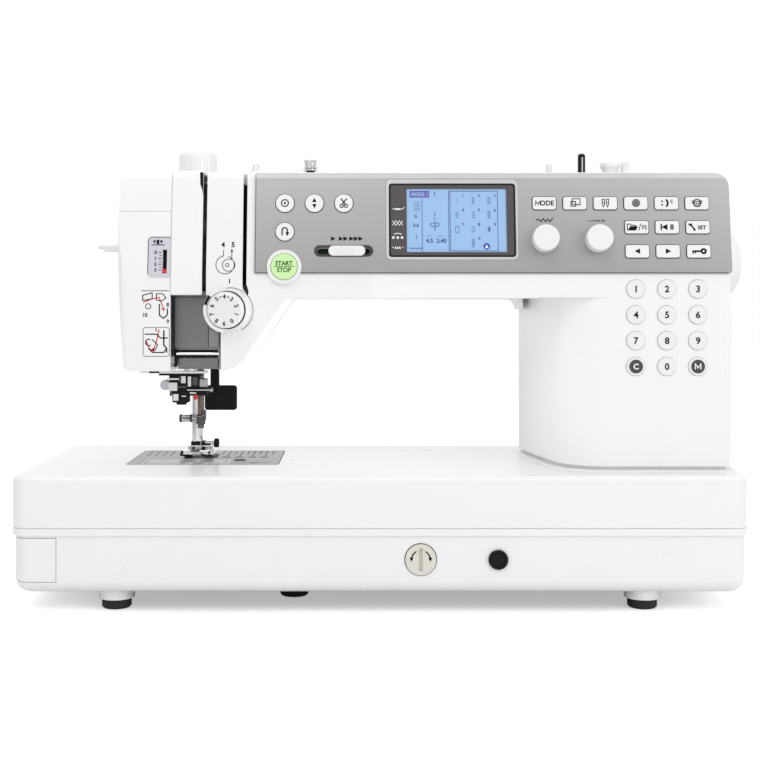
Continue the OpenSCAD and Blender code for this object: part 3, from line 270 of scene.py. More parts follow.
class Shape:
    """Collects solids of one piece in one material; done() is called for all of them at the end."""
    made = []

    def __init__(self, name, look="print_dark", body="root", replaces=(), bevel=0, segments=2):
        self.name, self.look, self.body, self.nodes = name, look, body, replaces
        self.bevel, self.segments = bevel, segments
        self.bm = bmesh.new()
        Shape.made.append(self)

    def loft(self, rings, loop=False):
        """Skins a list of rings that all have the same number of points."""
        rows = [[self.bm.verts.new(p) for p in ring] for ring in rings]
        for a, b in zip(rows, rows[1:] + rows[:1] if loop else rows[1:]):
            for i in range(len(a)):
                j = (i + 1) % len(a)
                self.bm.faces.new((a[i], a[j], b[j], b[i]))
        if not loop:
            self.bm.faces.new(rows[0][::-1])
            self.bm.faces.new(rows[-1])
        return self

    def fill(self, place, outline, w0=0, w1=0.06):
        """An outline in a plane, made solid from w0 out to w1."""
        return self.loft([[place(u, v, w) for u, v in outline] for w in (w0, w1)])

    def frame(self, place, outer, inner, w0, w1):
        """A flat frame between two outlines with the same number of points."""
        return self.loft([[place(*o, w0), place(*o, w1), place(*i, w1), place(*i, w0)]
                          for o, i in zip(outer, inner)], loop=True)

    def ring(self, place, u, v, r0, r1, w0, w1, n=48, start=0, sweep=360):
        """A flat ring or arc with a square section."""
        full = sweep >= 359.9
        count = n if full else max(int(n * sweep / 360), 6)
        rings = []
        for k in range(count if full else count + 1):
            c, s = polar(1, start + sweep * k / count)
            rings.append([place(u + r * c, v + r * s, w) for r, w in bar(r0, w0, r1, w1)])
        return self.loft(rings, loop=full)

    def lathe(self, base, axis, profile, n=48, flutes=0, depth=0, rows=()):
        """Turns a profile of (radius, height) round an axis; flutes are cut into the chosen rows."""
        base, axis = bed(*base), Vector(axis).normalized()
        side = axis.orthogonal().normalized()
        other = axis.cross(side)
        rings = []
        for i, (r, h) in enumerate(profile):
            ring = []
            for k in range(n):
                a = 2 * math.pi * k / n
                cut = depth * (0.5 - 0.5 * math.cos(flutes * a)) if i in rows else 0
                q = max(r - cut, 0.005) * MM
                ring.append(base + axis * (h * MM) + (side * math.cos(a) + other * math.sin(a)) * q)
            rings.append(ring)
        return self.loft(rings)

    def boxes(self, *corners):
        """Boxes, each given by its low and its high corner."""
        for (x0, y0, z0), (x1, y1, z1) in corners:
            self.loft([[bed(x, y, z) for x, y in bar(x0, y0, x1, y1)] for z in (z0, z1)])
        return self

    def tube(self, points, r, n=12):
        """A round bar along points."""
        points = [bed(*p) for p in points]
        up = Vector((0.3, 0.2, 1)).normalized()
        rings = []
        for i, p in enumerate(points):
            axis = (points[min(i + 1, len(points) - 1)] - points[max(i - 1, 0)]).normalized()
            side = axis.cross(up).normalized()
            other = axis.cross(side)
            rings.append([p + (side * a + other * b) * MM for a, b in ring2(0, 0, r, n)])
        return self.loft(rings)

    def stroke(self, place, points, width, w0=0, w1=0.06, closed=False):
        """A printed line: a flat ribbon with mitred bends."""
        n = len(points)
        rings = []
        for i, b in enumerate(points):
            a = points[i - 1] if i or closed else b
            c = points[(i + 1) % n] if i < n - 1 or closed else b
            d0 = unit((b[0] - a[0], b[1] - a[1])) or unit((c[0] - b[0], c[1] - b[1]))
            d1 = unit((c[0] - b[0], c[1] - b[1])) or d0
            m = unit((-(d0[1] + d1[1]), d0[0] + d1[0])) or (-d0[1], d0[0])
            k = width * INK / 2 / max(m[0] * -d0[1] + m[1] * d0[0], 0.5)
            left, right = ((b[0] + m[0] * q, b[1] + m[1] * q) for q in (k, -k))
            rings.append([place(*left, w0), place(*right, w0), place(*right, w1), place(*left, w1)])
        return self.loft(rings, loop=closed)

    def strokes(self, place, *lines, **more):
        """Printed lines, each given as its width and then its points."""
        for width, *points in lines:
            self.stroke(place, points, width, **more)
        return self

    def arc(self, place, u, v, r, start, sweep, width, w0=0, w1=0.06, n=36):
        count = max(int(n * abs(sweep) / 360), 5)
        return self.stroke(place, arc_points(u, v, r, start, sweep, count), width, w0, w1)

    def circle(self, place, u, v, r, width, w0=0, w1=0.06, n=36):
        return self.stroke(place, ring2(u, v, r, n), width, w0, w1, closed=True)

    def arrow(self, place, u, v, size, turn):
        """A filled triangle that points along turn."""
        tail, half = -size * 0.5, size * 0.55
        return self.fill(moved(place, u, v, 0, turn), [(tail, -half), (size * 0.6, 0), (tail, half)])

    def letter_m(self, place, wide, high, width):
        """A capital M in strokes: the font's own M closes up when it is drawn bold."""
        a, b = wide / 2, high / 2
        return self.stroke(place, [(-a, -b), (-a, b), (0, -b * 0.5), (a, b), (a, -b)], width)

    def text(self, place, string, size, u=0, v=0, w0=0, w1=0.06, turn=0, squeeze=1, weight=0.03):
        """Figures or a plain word, centred on u, v."""
        curve = bpy.data.curves.new("letters", "FONT")
        curve.body, curve.size, curve.resolution_u, curve.offset = string, 1, 4, weight
        curve.align_x, curve.align_y = "CENTER", "CENTER"
        holder = add("letters", curve)
        bpy.context.view_layer.update()
        flat = holder.evaluated_get(bpy.context.evaluated_depsgraph_get()).to_mesh()
        xs = [p.co.x for p in flat.vertices]
        ys = [p.co.y for p in flat.vertices]
        mx, my = (min(xs) + max(xs)) / 2, (min(ys) + max(ys)) / 2
        spot = moved(place, u, v, 0, turn)
        spots = [((x - mx) * size * squeeze, (y - my) * size) for x, y in zip(xs, ys)]
        low, top = ([self.bm.verts.new(spot(x, y, w)) for x, y in spots] for w in (w0, w1))
        edges = set()
        for face in flat.polygons:
            ids = list(face.vertices)
            self.bm.faces.new([top[i] for i in ids])
            self.bm.faces.new([low[i] for i in reversed(ids)])
            edges.update(zip(ids, ids[1:] + ids[:1]))
        for i, j in sorted(edges):
            if (j, i) not in edges:
                self.bm.faces.new((top[j], top[i], low[i], low[j]))
        bpy.data.objects.remove(holder)
        bpy.data.curves.remove(curve)
        return self

    def done(self):
        bmesh.ops.recalc_face_normals(self.bm, faces=self.bm.faces)
        mesh = bpy.data.meshes.new(self.name)
        self.bm.to_mesh(mesh)
        self.bm.free()
        piece = add(self.name, mesh)
        mesh.materials.append(M[self.look])
        soften(piece, self.bevel, self.segments, 35, harden=True)
        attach(piece, self.body)
        if self.nodes:
            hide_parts(*self.nodes)


# ------------ CAD nodes that stay: the look, its edge width and its nodes
LOOKS = {
    "shell": (0.5, "bed_base bed_cover bed_end_cap front_cover rear_cover head_cap face_cover take_up_cover "
                   "carry_handle pressure_dial handwheel"),
    "silver": (0.25, "control_panel"),
    "button": (0.35, "tension_dial spool_pin spool_cap winder_stopper speed_slider width_knob length_knob "
                     "lock_button needle_button cutter_button reverse_button function_keys_top "
                     "function_keys_side number_keys"),
    "start": (0.5, "start_button"),
    "bezel": (0.4, "display"),
    "board": (0, "circuit_board"),
    "plate_steel": (0.15, "needle_plate"),
    "clear": (0.3, "bobbin_cover bobbin"),
    "beige": (0.35, "feed_dial"),
    "rubber": (0.8, "feet"),
    "thread_black": (0, "drive_belts"),
    "black": (0.5, "knee_socket foot_holder lifter_lever threader bobbin_case power_switch power_inlet "
                   "winder_spindle"),
    "chrome": (0.2, "thread_guides needle_clamp needle presser_foot take_up_lever"),
    "brown_bar": (0.2, "needle_bar"),
    "bright": (0.2, "presser_bar"),
    "steel": (0.2, "upper_shaft lower_shaft hook motor_pulley feed_dog screws"),
    "frame_metal": (0.4, "main_frame motor"),
    "red": (0.2, "pressure_marker"),
    "lens": (0.3, "lamp"),
}
SOFTER = {"width_knob": 1, "length_knob": 1, "speed_slider": 0.6, "number_keys": 0.5, "take_up_cover": 0.9}


def dress_nodes():
    for key, (bevel, names) in LOOKS.items():
        for name in names.split():
            piece = NODES[name]
            piece.data.materials.clear()
            piece.data.materials.append(M[key])
            weld = piece.modifiers.new("weld", "WELD")
            weld.merge_threshold = 0.00001
            flat = piece.modifiers.new("flat_faces", "DECIMATE")
            flat.decimate_type, flat.angle_limit = "DISSOLVE", math.radians(0.6)
            width = SOFTER.get(name, bevel)
            soften(piece, width, 3, 28)
            if width:
                even = piece.modifiers.new("even_faces", "WEIGHTED_NORMAL")
                even.mode, even.weight = "FACE_AREA", 90


# ------------ stage
def stage():
    scene = bpy.context.scene
    scene.view_settings.view_transform = "Standard"
    eye = bpy.data.cameras.new("camera")
    eye.sensor_width, eye.lens = 36, 57.84
    eye.shift_x, eye.shift_y = 0.0329, -0.0947
    eye.clip_start, eye.clip_end = 0.01, 50
    scene.camera = add("camera", eye, (-0.02875, -0.9475, 0.2136), (math.radians(90), 0, 0))

    # the world gives soft light, and looks pure white to the camera and in mirrors
    scene.world = bpy.data.worlds.new("studio")
    scene.world.use_nodes = True
    tree = scene.world.node_tree
    light = tree.nodes["Background"]
    give(light, Color=(1, 1, 1, 1), Strength=0.655)
    white = node(tree, "Background", Color=(1, 1, 1, 1), Strength=1)
    path = node(tree, "LightPath")
    most = node(tree, "Math", {0: (path, "Is Camera Ray"), 1: (path, "Is Glossy Ray")}, operation="MAXIMUM")
    top = node(tree, "Math", {0: (most, "Value"), 1: (path, "Is Transmission Ray")}, operation="MAXIMUM")
    both = node(tree, "MixShader", {"Fac": (top, "Value"), 1: (light, "Background"),
                                    2: (white, "Background")})
    wire(tree, tree.nodes["World Output"], {"Surface": (both, "Shader")})

    floor = bpy.data.meshes.new("floor")
    grid = bmesh.new()
    bmesh.ops.create_grid(grid, x_segments=24, y_segments=24, size=6)
    grid.to_mesh(floor)
    grid.free()
    ground = add("floor", floor, (0, 0, -0.0001))
    paint = bpy.data.materials.new("floor")
    paint.use_nodes = True
    tree = paint.node_tree
    shader = tree.nodes["Principled BSDF"]
    give(shader, Base_Color=(0.9, 0.9, 0.9, 1), Roughness=0.9, Emission_Color=(1, 1, 1, 1))
    lift = node(tree, "Math", {0: (node(tree, "LightPath"), "Is Camera Ray")}, operation="MULTIPLY")
    lift.inputs[1].default_value = 0.42
    wire(tree, shader, {"Emission Strength": (lift, "Value")})
    floor.materials.append(paint)

    for name, place, target, size, power, spread in (
            ("key", (-0.5, -1.3, 1.5), (0, 0, 0.15), 1.4, 8, 180),
            ("fill", (1.3, -1.2, 0.8), (0, 0, 0.15), 1.2, 7.2, 180),
            ("top", (0, 0.3, 1.6), (0, 0, 0.1), 1.6, 6.1, 180),
            ("throat_left", (0.02, -0.015, 0.172), (-0.09, -0.01, 0.192), 0.1, 0.05, 70),
            ("throat_right", (-0.02, -0.06, 0.165), (0.115, -0.05, 0.16), 0.16, 0.016, 90)):
        lamp = bpy.data.lights.new(name, "AREA")
        lamp.shape, lamp.size, lamp.energy, lamp.spread = "DISK", size, power, math.radians(spread)
        turn = (Vector(place) - Vector(target)).to_track_quat("Z", "Y").to_euler()
        holder = add(name, lamp, place, turn)
        holder.visible_camera = holder.visible_glossy = size > 1


# ------------ panel
PANEL_X = -90
GLASS = (19.9, 15.9, 92.2, 62.6)
ROUND = [(-68.2, 51.7), (-46.9, 51.7), (-25.6, 51.7), (-68.2, 30.7)]
START = (-68.5, 5.1)
SLIDER = (-25.7, 16.7)
KEY_X = [119.6 + 22.1 * i for i in range(6)]
KEY_V = [51.7, 34, 16.3]
NUM_X = [184.7 + 22.3 * i for i in range(3)]
NUM_Z = [227.3 - 18.6 * j for j in range(4)]


def panel_trim():
    left = PANEL_X + 0.5
    Shape("panel_top_strip", "silver_light").fill(
        on_silver, [(left, 70.4)] + arc_points(244, 64.1, 9.6, 42, 48, 6) + [(left, 73.7)], -0.3, 0.05)
    # a grey band along the panel's lower and left edges: painted shade at the plate's edge
    under = Shape("panel_edge_shade", "print_grey")
    under.fill(on_silver, bar(PANEL_X + 0.4, 0.42, 251, 0.98), -0.3, 0.04)
    under.fill(on_silver, bar(PANEL_X + 0.35, 0.98, PANEL_X + 0.8, 72.6), -0.3, 0.04)
    Shape("display_lip", "silver_light", bevel=0.35, segments=3).frame(
        on_silver, rounded(5, 10.2, 100.3, 69.1, 3.4), rounded(7, 12.2, 98.7, 66.4, 2.2), -1.2, 0.5)
    Shape("display_bezel", "bezel", bevel=0.2).frame(
        on_silver, rounded(7.1, 12.3, 98.6, 66.3, 2.2), rounded(*GLASS, 0.8), -1.05, 0.05)
    Shape("display_shade", "black").frame(
        on_silver, rounded(7.15, 12.35, 98.55, 66.25, 2.2), rounded(8.3, 13.5, 97.4, 65.1, 1.6), 0, 0.09)
    Shape("start_ring", "button", bevel=0.3).ring(on_silver, *START, 9.9, 12.6, -0.2, 0.75, n=64)
    Shape("slider_groove", "slot").frame(
        on_silver, around(SLIDER, 21.3, 4.15, 4.1), around(SLIDER, 18.9, 2.4, 2.3), -0.7, -0.5)
    rims = Shape("button_rims")
    for u, v in ROUND:
        rims.ring(on_silver, u, v, 6.66, 7.15, -0.4, 0.05)
    for key in [(x, KEY_V[0]) for x in KEY_X] + [(x, v) for v in KEY_V[1:] for x in KEY_X[3:]]:
        rims.frame(on_silver, around(key, 9, 5.2, 2.2), around(key, 8.46, 4.66, 1.66), -0.1, 0.05)
    halos = Shape("number_rims", "print_pale")
    for z in NUM_Z:
        for x in NUM_X:
            halos.ring(on_front, x, z, 6.65, 7, -0.6, 0.04)


def panel_prints():
    ink = Shape("panel_legends")
    for u, count in ((-33.3, 1), (-26, 2), (-16.8, 3)):
        for k in range(count):
            ink.arrow(on_silver, u + (k - (count - 1) / 2) * 3.3, 25.7, 3.1, 0)
    zigzag = [(-6.4, 0), (-4.4, 0.9), (-2.6, -1), (-0.8, 1.1), (0.8, -1), (2.4, 1), (3.8, -1), (6.2, 1.7)]
    ink.stroke(moved(on_silver, 119.6, 39.2), zigzag, 0.5)
    for u, long in ((150.4, 0.5), (151.7, 0.5), (153, 0.6), (154.4, 0.9), (156.1, 1.3), (158.2, 1.8),
                    (160.9, 2.3)):
        ink.stroke(on_silver, [(u, 38.9), (u + long, 38.9)], 0.62)


def button_icons():
    lock, needle, cutter, reverse = (moved(on_silver, u, v, 1.2) for u, v in ROUND)
    Shape("lock_icon", body="lock").circle(lock, 0, 0, 2.5, 0.55).fill(lock, ring2(0, 0, 0.85, 20))
    icon = Shape("needle_icon", body="needle_up")
    icon.arrow(needle, 0, 2.2, 2.9, 90).arrow(needle, 0, -2.2, 2.9, -90)
    icon = Shape("cutter_icon", body="cutter")
    for s in (-1, 1):
        icon.stroke(cutter, [(s * 2.1, 3.4), (-s, -0.9)], 0.6).circle(cutter, -s * 1.55, -2.1, 1.15, 0.5)
    icon = Shape("reverse_icon", body="reverse")
    icon.arc(reverse, 0, 0.9, 1.9, 0, 180, 0.65).arrow(reverse, 1.9, -1.9, 2.6, -90)
    icon.strokes(reverse, (0.65, (-1.9, 0.95), (-1.9, -2.8)), (0.65, (1.9, 0.95), (1.9, -1.3)))
    words = Shape("start_words", "print_green", "start")
    p = moved(on_silver, *START, 1.4)
    words.text(p, "START", 4.6, 0, 2.3, squeeze=0.92).text(p, "STOP", 4.6, 0, -2.5, squeeze=0.92)
    words.stroke(p, [(-7.6, -0.1), (7.6, -0.1)], 0.3)
    ribs = Shape("slider_ribs", "button", "speed", bevel=0.12)
    p = moved(on_silver, SLIDER[0] + 2.3, SLIDER[1], 1.8)
    for u in (-4.8, -2.4, 0, 2.4, 4.8):
        ribs.fill(p, around((u, 0), 0.5, 2.6, 0.45, 4), -0.1, 0.45)


def key_icons():
    """Plain pictograms for the function keys."""
    top = Shape("top_key_icons", body="keys_top")
    at = [moved(on_silver, x, KEY_V[0], 1.2) for x in KEY_X]
    top.letter_m(moved(at[0], -4.7, 0), 3.3, 3.3, 0.5).text(at[0], "ODE", 5, 1.9, 0, squeeze=0.98)
    top.stroke(at[1], bar(-2.9, -2.3, 0.5, 1.1), 0.45, closed=True)
    top.stroke(at[1], bar(-1.9, -1.2, 3.7, 3.2), 0.45, closed=True)
    for s in (-1.5, 1.5):
        outline = [(s - 0.85, 2.9), (s + 0.85, 2.9), (s + 0.85, -0.8), (s, -2.9), (s - 0.85, -0.8)]
        top.stroke(at[2], outline, 0.4, closed=True).stroke(at[2], [(s - 0.8, 0.2), (s + 0.8, 0.2)], 0.35)
    for radius in (2.7, 1.95, 1.2, 0.5):
        top.circle(at[3], 0, 0, radius, 0.36)
    for s in (-1, 1):
        top.fill(at[4], ring2(-3.2, s * 1.3, 0.7, 12)).circle(at[5], s * 2.9, 0.9, 0.9, 0.35)
    top.arc(at[4], -2.4, 0, 3.3, -52, 104, 0.95).arc(at[4], 4, 1.3, 0.95, 50, 260, 0.4)
    top.circle(at[5], 0, 0, 2.7, 0.5)
    for v, half in ((1.2, 1.8), (-0.2, 2.8), (-1.5, 1.8)):
        top.stroke(at[5], [(-half, v), (half, v)], 0.45)

    side = Shape("side_key_icons", body="keys_side")
    folder, first, tool, back, on, key = (moved(on_silver, x, v, 1.2) for v in KEY_V[1:] for x in KEY_X[3:])
    outline = [(-6.8, -2.2), (-6.8, 2.2), (-4.6, 2.2), (-3.9, 1.3), (-1, 1.3), (-1, -2.2)]
    side.stroke(folder, outline, 0.45, closed=True).stroke(folder, [(1.4, -2.5), (3, 2.5)], 0.4)
    side.fill(folder, [(-6.2, -2), (-0.4, -2), (0.8, 0.6), (-4.9, 0.6)])
    side.text(folder, "FS", 4.4, 5.6, -0.2, squeeze=0.9, weight=0.015)
    side.stroke(first, [(-4.4, -2.3), (-4.4, 2.3)], 0.7).arrow(first, -1.9, 0, 4, 180)
    side.text(first, "8", 5.4, 3.3, 0)
    side.stroke(tool, [(-5.6, 2.4), (-2.6, -1.8)], 0.8).arc(tool, -5.5, 2.2, 1, 150, 240, 0.5)
    side.fill(tool, ring2(-2.6, -1.9, 0.9, 16)).text(tool, "SET", 4, 2.9, -0.3, squeeze=0.95)
    side.arrow(back, 0, 0, 3.6, 180).arrow(on, 0, 0, 3.6, 0)
    side.circle(key, 3.4, 0, 1.5, 1)
    side.strokes(key, (0.9, (2, 0), (-4.6, 0)), (0.7, (-2.6, 0), (-2.6, -1.7)), (0.7, (-4.3, 0), (-4.3, -2)))

    digits = Shape("number_digits", body="keys_number")
    dark = Shape("number_discs", "print_grey", "keys_number")
    letters = Shape("number_letters", "print_white", "keys_number")
    for k, digit in enumerate("123456789C0M"):
        p = moved(on_front, NUM_X[k % 3], NUM_Z[k // 3], 1.2)
        if digit in "CM":
            dark.fill(p, ring2(0, 0, 5), 0, 0.08)
        if digit == "C":
            letters.text(p, "C", 5.6, w0=0.08, w1=0.14)
        elif digit == "M":
            letters.letter_m(moved(p, 0, 0, 0.08), 4, 3.9, 0.6)
        else:
            digits.text(p, digit, 6.6)


def lcd():
    """A plain stitch menu of my own layout."""
    u0, v0, u1, v1 = GLASS
    place = moved(on_silver, 0, 0, -0.85)
    Shape("lcd_pane", "lcd").fill(place, rounded(u0 - 0.3, v0 - 0.3, u1 + 0.3, v1 + 0.3, 0.6), -0.1, 0)
    Shape("lcd_title", "lcd_box").fill(place, rounded(u0 + 2.2, 56.2, u0 + 16.4, 61.2, 0.3, 2))
    Shape("lcd_title_text", "lcd").text(place, "MODE 1", 3.6, u0 + 9.3, 58.7, 0.06, 0.1, squeeze=0.95)
    ink = Shape("lcd_lines", "lcd_ink")
    ink.strokes(place, (0.28, (31.1, 16.6), (31.1, 55.4)), (0.28, (50.4, 16.6), (50.4, 61.6)))
    ink.stroke(place, bar(51.4, 16.9, 85.9, 61), 0.3, closed=True)
    for v in (46.4, 48, 49.6, 51.2, 52.8):
        ink.stroke(place, [(25, v), (29.6, v)], 0.22)
    for string, v in (("A", 42.4), ("2-6", 35.8), ("J", 27)):
        ink.text(place, string, 3.2, 26.6, v)
    for u in (22.9, 24.7, 26.5, 28.3, 30):
        ink.arrow(place, u, 19, 1.3, 90)
    # the stitch in the middle column
    for low, high in ((57.2, 60.6), (42.6, 45.4), (39.4, 41.6), (31.6, 38.4)):
        ink.stroke(place, [(40.3, low), (40.3, high)], 0.38)
    ink.stroke(place, rounded(37.2, 35, 43.4, 37.4, 1.1, 5), 0.35, closed=True)
    for string, u, dash in (("4.5", 36.3, 35.6), ("2.40", 45, 44.2)):
        ink.text(place, string, 4.2, u, 24.4).stroke(place, [(dash - 1.7, 27.8), (dash + 1.7, 27.8)], 0.25)
    # nine small stitches: the line's width, whether it is closed, and the lines
    zig = lambda n, high, wide: [(-wide / 2 * (-1) ** k, -high / 2 + high * k / n) for k in range(n + 1)]
    stitches = (
        (0.3, False, [[(0, v), (0, v + 0.9)] for v in (-3.2, -1.6, 0, 1.6)]),
        (0.3, False, [zig(6, 6.2, 2)]),
        (0.3, False, [zig(8, 6.4, 3.6)]),
        (0.3, False, [[(-1.5, v), (0, v + 1.4), (1.5, v)] for v in (-3, -1, 1)]),
        (0.3, False, [[(0, -3.2), (0, 3)]] + [[(0, v), (2, v)] for v in (-2.4, 0, 2.4)]),
        (0.28, True, [ring2(0, v, 1.05, 18) for v in (-2.1, 0.3, 2.6)]),
        (0.3, True, [[(-1.4, -3), (-1.4, 2.4), (1.4, 2.4), (1.4, -3)]]),
        (0.3, False, [[(-1.7, v), (1.7, v + 1.6)] for v in (-3, -1, 1)]),
        (0.3, False, [[(-1.6, 0), (1.6, 0)], [(0, -2.8), (0, 2.8)],
                      [(-1.2, -2), (1.2, 2)], [(-1.2, 2), (1.2, -2)]]))

    def stitch(kind, label, u, v, label_u, label_v):
        width, closed, lines = stitches[kind]
        for points in lines:
            ink.stroke(moved(place, u, v, 0, 0, 0.85), points, width, closed=closed)
        ink.text(place, label, 2.9, u + label_u, v + label_v)

    for k in range(9):
        stitch(k, str(k + 1), 56.5 + 11.55 * (k % 3), 54 - 10.6 * (k // 3), 4.3, 3.6)
    stitch(5, "0", 68, 22.4, 4.4, 3.8)
    Shape("lcd_badge", "lcd_blue").fill(place, ring2(77.6, 20.2, 2.4, 28), 0, 0.08)
    Shape("lcd_badge_mark", "print_white").arrow(moved(place, 0, 0, 0.08), 77.6, 20.2, 2.4, 90)

    white = Shape("bezel_icons", "print_white")
    place = moved(on_silver, 0, 0, 0.05)
    white.strokes(place, (0.3, (9.3, 47.9), (11.6, 47.3)), (0.85, (11.4, 47.5), (15.4, 47.5)),
                  (0.35, (15.2, 47.2), (17, 47.7), (18.2, 48.8)),
                  (0.4, (10.6, 28.9), (12.2, 29.5), (14.6, 29.5), (16.2, 28.9)))
    for s in (-1.7, 1.7):
        white.stroke(place, [(9.6, 37.2 + s), (12.1, 37.2 - s), (14.6, 37.2 + s), (17.1, 37.2 - s)], 0.3)
    for u in (10.2, 13.4, 16.5):
        white.fill(place, ring2(u, 26.5, 0.95, 16))
    for u in (11.7, 13.3, 14.9):
        white.arrow(place, u, 19.2, 1.6, 90)
    for u in (9.7, 16.9):
        white.fill(place, ring2(u, 19.4, 0.4, 10))


# ------------ head
def gauge():
    """The foot-pressure window with its scale, cut round the marker's slot."""
    plate = Shape("gauge_plate", "gauge")
    for place, outline in (
            (on_panel, [(-156.5, 0.05), (-156.5, 27.3)] + arc_points(-163.9, 24.3, 3, 90, 90, 6) +
             [(-166.9, 0.05)]),
            (on_panel, bar(-153.1, 0.05, -150.75, 27.3)),
            (on_panel, bar(-156.5, 18.3, -153.1, 27.3)),
            (on_front, [(-150.75, 235.4), (-150.75, 238.05), (-166.9, 238.05)] +
             arc_points(-164.4, 237.9, 2.5, 180, 90, 6))):
        plate.fill(place, outline, -0.1, 0.12)
    ink = Shape("gauge_scale")
    place = moved(on_panel, 0, 0, 0.12)
    ink.strokes(place, (0.35, (-150.9, 27.1), *arc_points(-163.9, 24.2, 2.9, 90, 90, 6), (-166.8, 0.2)),
                (0.45, (-164.6, 21.4), (-155, 21.4)))
    for k, v in enumerate((15.9, 11.6, 7.3, 3)):
        ink.text(place, str(k), 3.6, -161.4, v).stroke(place, [(-159.4, v), (-157, v)], 0.4)
        if k:
            ink.stroke(place, [(-158.6, v + 2.15), (-157, v + 2.15)], 0.3)
    for u in (-162.4, -157.4):
        ink.arrow(place, u, 23.6, 2.2, -90)
    ink.fill(place, bar(-160.9, 22, -158.9, 25.2))
    # a black sheet deep in the marker's slot: painted shade inside it
    Shape("gauge_slot_shade", "black").fill(on_panel, rounded(-156.35, 0.5, -153.25, 18.2, 0.3, 2), -6.4, -6)


def threading_prints():
    """Plain threading hints of my own: guides, the thread's way and step numbers."""
    here = moved(on_front, -161, 200)
    ink = Shape("threading_lines")
    ink.strokes(here,
                (0.35, (-10.6, 26), (9.6, 26)),
                (0.6, (2.6, 16.6), (2.6, 8.4), (5.6, 6.2), (8.4, 8.8), (8.4, 13.4)),
                (0.6, (-8, -5.2), (0.6, -5.2), (3.4, -8), (8.6, -8)),
                (0.5, (0.2, -3.2), (0.2, -1)),
                (0.7, (5.8, -2.4), (5.8, -13.2), (7.8, -15.4), (7.8, -18.6)),
                (0.55, (-5.4, -15.4), (-2.4, -18.4), (5.6, -18.4), (7.4, -16)),
                (0.45, (-2.8, -9), (1.4, -12.8), (-0.4, -16.8)))
    ink.strokes(here, (0.5, (-9.4, 22.8), (-2.6, 24.6), (-2.6, 20.2), (-9.4, 19)),
                (0.45, (0.4, 23.8), (5, 23.8), (7.4, 20.8), (4.2, 18.6), (0.4, 19.4)), closed=True)
    ink.circle(here, -5.4, 14.8, 1.9, 0.4).arc(here, -5, -11.2, 2.3, 60, 250, 0.5)
    for digit, u, v in (("8", 8.6, 16), ("9", 8.6, 3.9), ("10", -7.6, 8.6)):
        ink.text(here, digit, 3.9, u, v)
    red = Shape("threading_thread", "print_red")
    red.strokes(here, (0.5, (-9.2, 17.4), (-3.4, 20), (2.4, 21.2), (5.2, 14.2)),
                (0.55, (-7.4, -9.6), (-4.2, -16.2), (-1.8, -17.4), (0.8, -9.4), (2.4, -1.8)))
    red.arrow(here, 5.6, 12.6, 2.4, -68).arrow(here, -1.6, -16.6, 2.6, -60)
    Shape("threading_frame", "print_light").stroke(
        here, rounded(-9.1, -21.2, 9.8, -0.4, 1.6, 4), 0.4, closed=True)


def tension_print():
    """The mark above the tension dial: a tension disc with the thread's way round it."""
    ink = Shape("tension_diagram")
    ink.arc(on_panel, -111.2, 6.8, 6.6, 100, 330, 0.35).arc(on_panel, -108.6, 6.6, 4.5, 60, 330, 0.35)
    ink.circle(on_panel, -109.6, 6.6, 1.2, 0.35).arrow(on_panel, -106.4, 17.4, 2, 90)
    ink.strokes(on_panel, (0.35, (-112.4, 13.3), (-112.4, 17.6)), (0.35, (-106.4, 10.5), (-106.4, 17.6)))
    ink.text(on_panel, "4", 5.2, -112.8, 21.6).text(on_panel, "5", 5.2, -105.6, 21.6)
    ink.stroke(on_front, [(-107.9, 231.2), (-107.9, 234.6)], 0.5)


def tension_dial():
    """The numbered dial; it leans towards the left like its CAD solid."""
    c, s = polar(1, DIAL_LEAN)
    axis, across = Vector((-s, -c, 0)), Vector((c, -s, 0))
    centre = (-108, FRONT_Y, 212.2)
    place = lambda u, v, w=0: bed(*centre) + (across * u + Vector(UP) * v + axis * w) * MM
    Shape("dial_body", "button", "tension", ("tension_dial",)).lathe(
        centre, axis, [(12, -2.6), (12.8, -2.2), (12.8, 5.2), (13.05, 5.9), (13.05, 10.4), (12.8, 11.3),
                       (12.1, 11.8), (11.4, 11.9)], n=144, flutes=48, depth=0.25, rows=(3, 4))
    Shape("dial_face", "button", "tension", bevel=0.15).loft(
        [[place(u, v, w) for u, v in ring2(0, 0, r, 72)] for r, w in ((12, 11.4), (12, 11.75), (11.75, 12))])
    ink = Shape("dial_numbers", body="tension")
    top = moved(place, 0, 0, 12)
    for k in range(10):
        a = 90 + 36 * (k - 4)
        ink.text(top, str(k), 4.3, *polar(9.6, a), turn=a - 90)
    for a in (108, 72):
        ink.stroke(moved(top, *polar(9.6, a), 0, a - 90), [(-1.1, 0), (1.1, 0)], 0.4)
    # black rings in the gap round the dial, the outer one only on its right half: painted shadow in the gap
    gap = Shape("dial_gap_shade")
    gap.ring(place, 0, 0, 13.15, 13.75, 4.9, 5.12, n=72)
    gap.ring(on_front, -107, 212, 15.95, 16.35, -0.2, 0.06, n=72, start=-62, sweep=180)
    Shape("dial_guard", "shell", bevel=0.6, segments=3).ring(
        place, -0.4, 0, 13.5, 16.3, 1, 9.6, n=96, start=112, sweep=150)
    # a black arc on the guard's face: painted shade standing for its slot
    Shape("dial_guard_slot_shade", "black").arc(place, -0.4, 0, 14.9, 138, 28, 1.5, 9.55, 9.72)


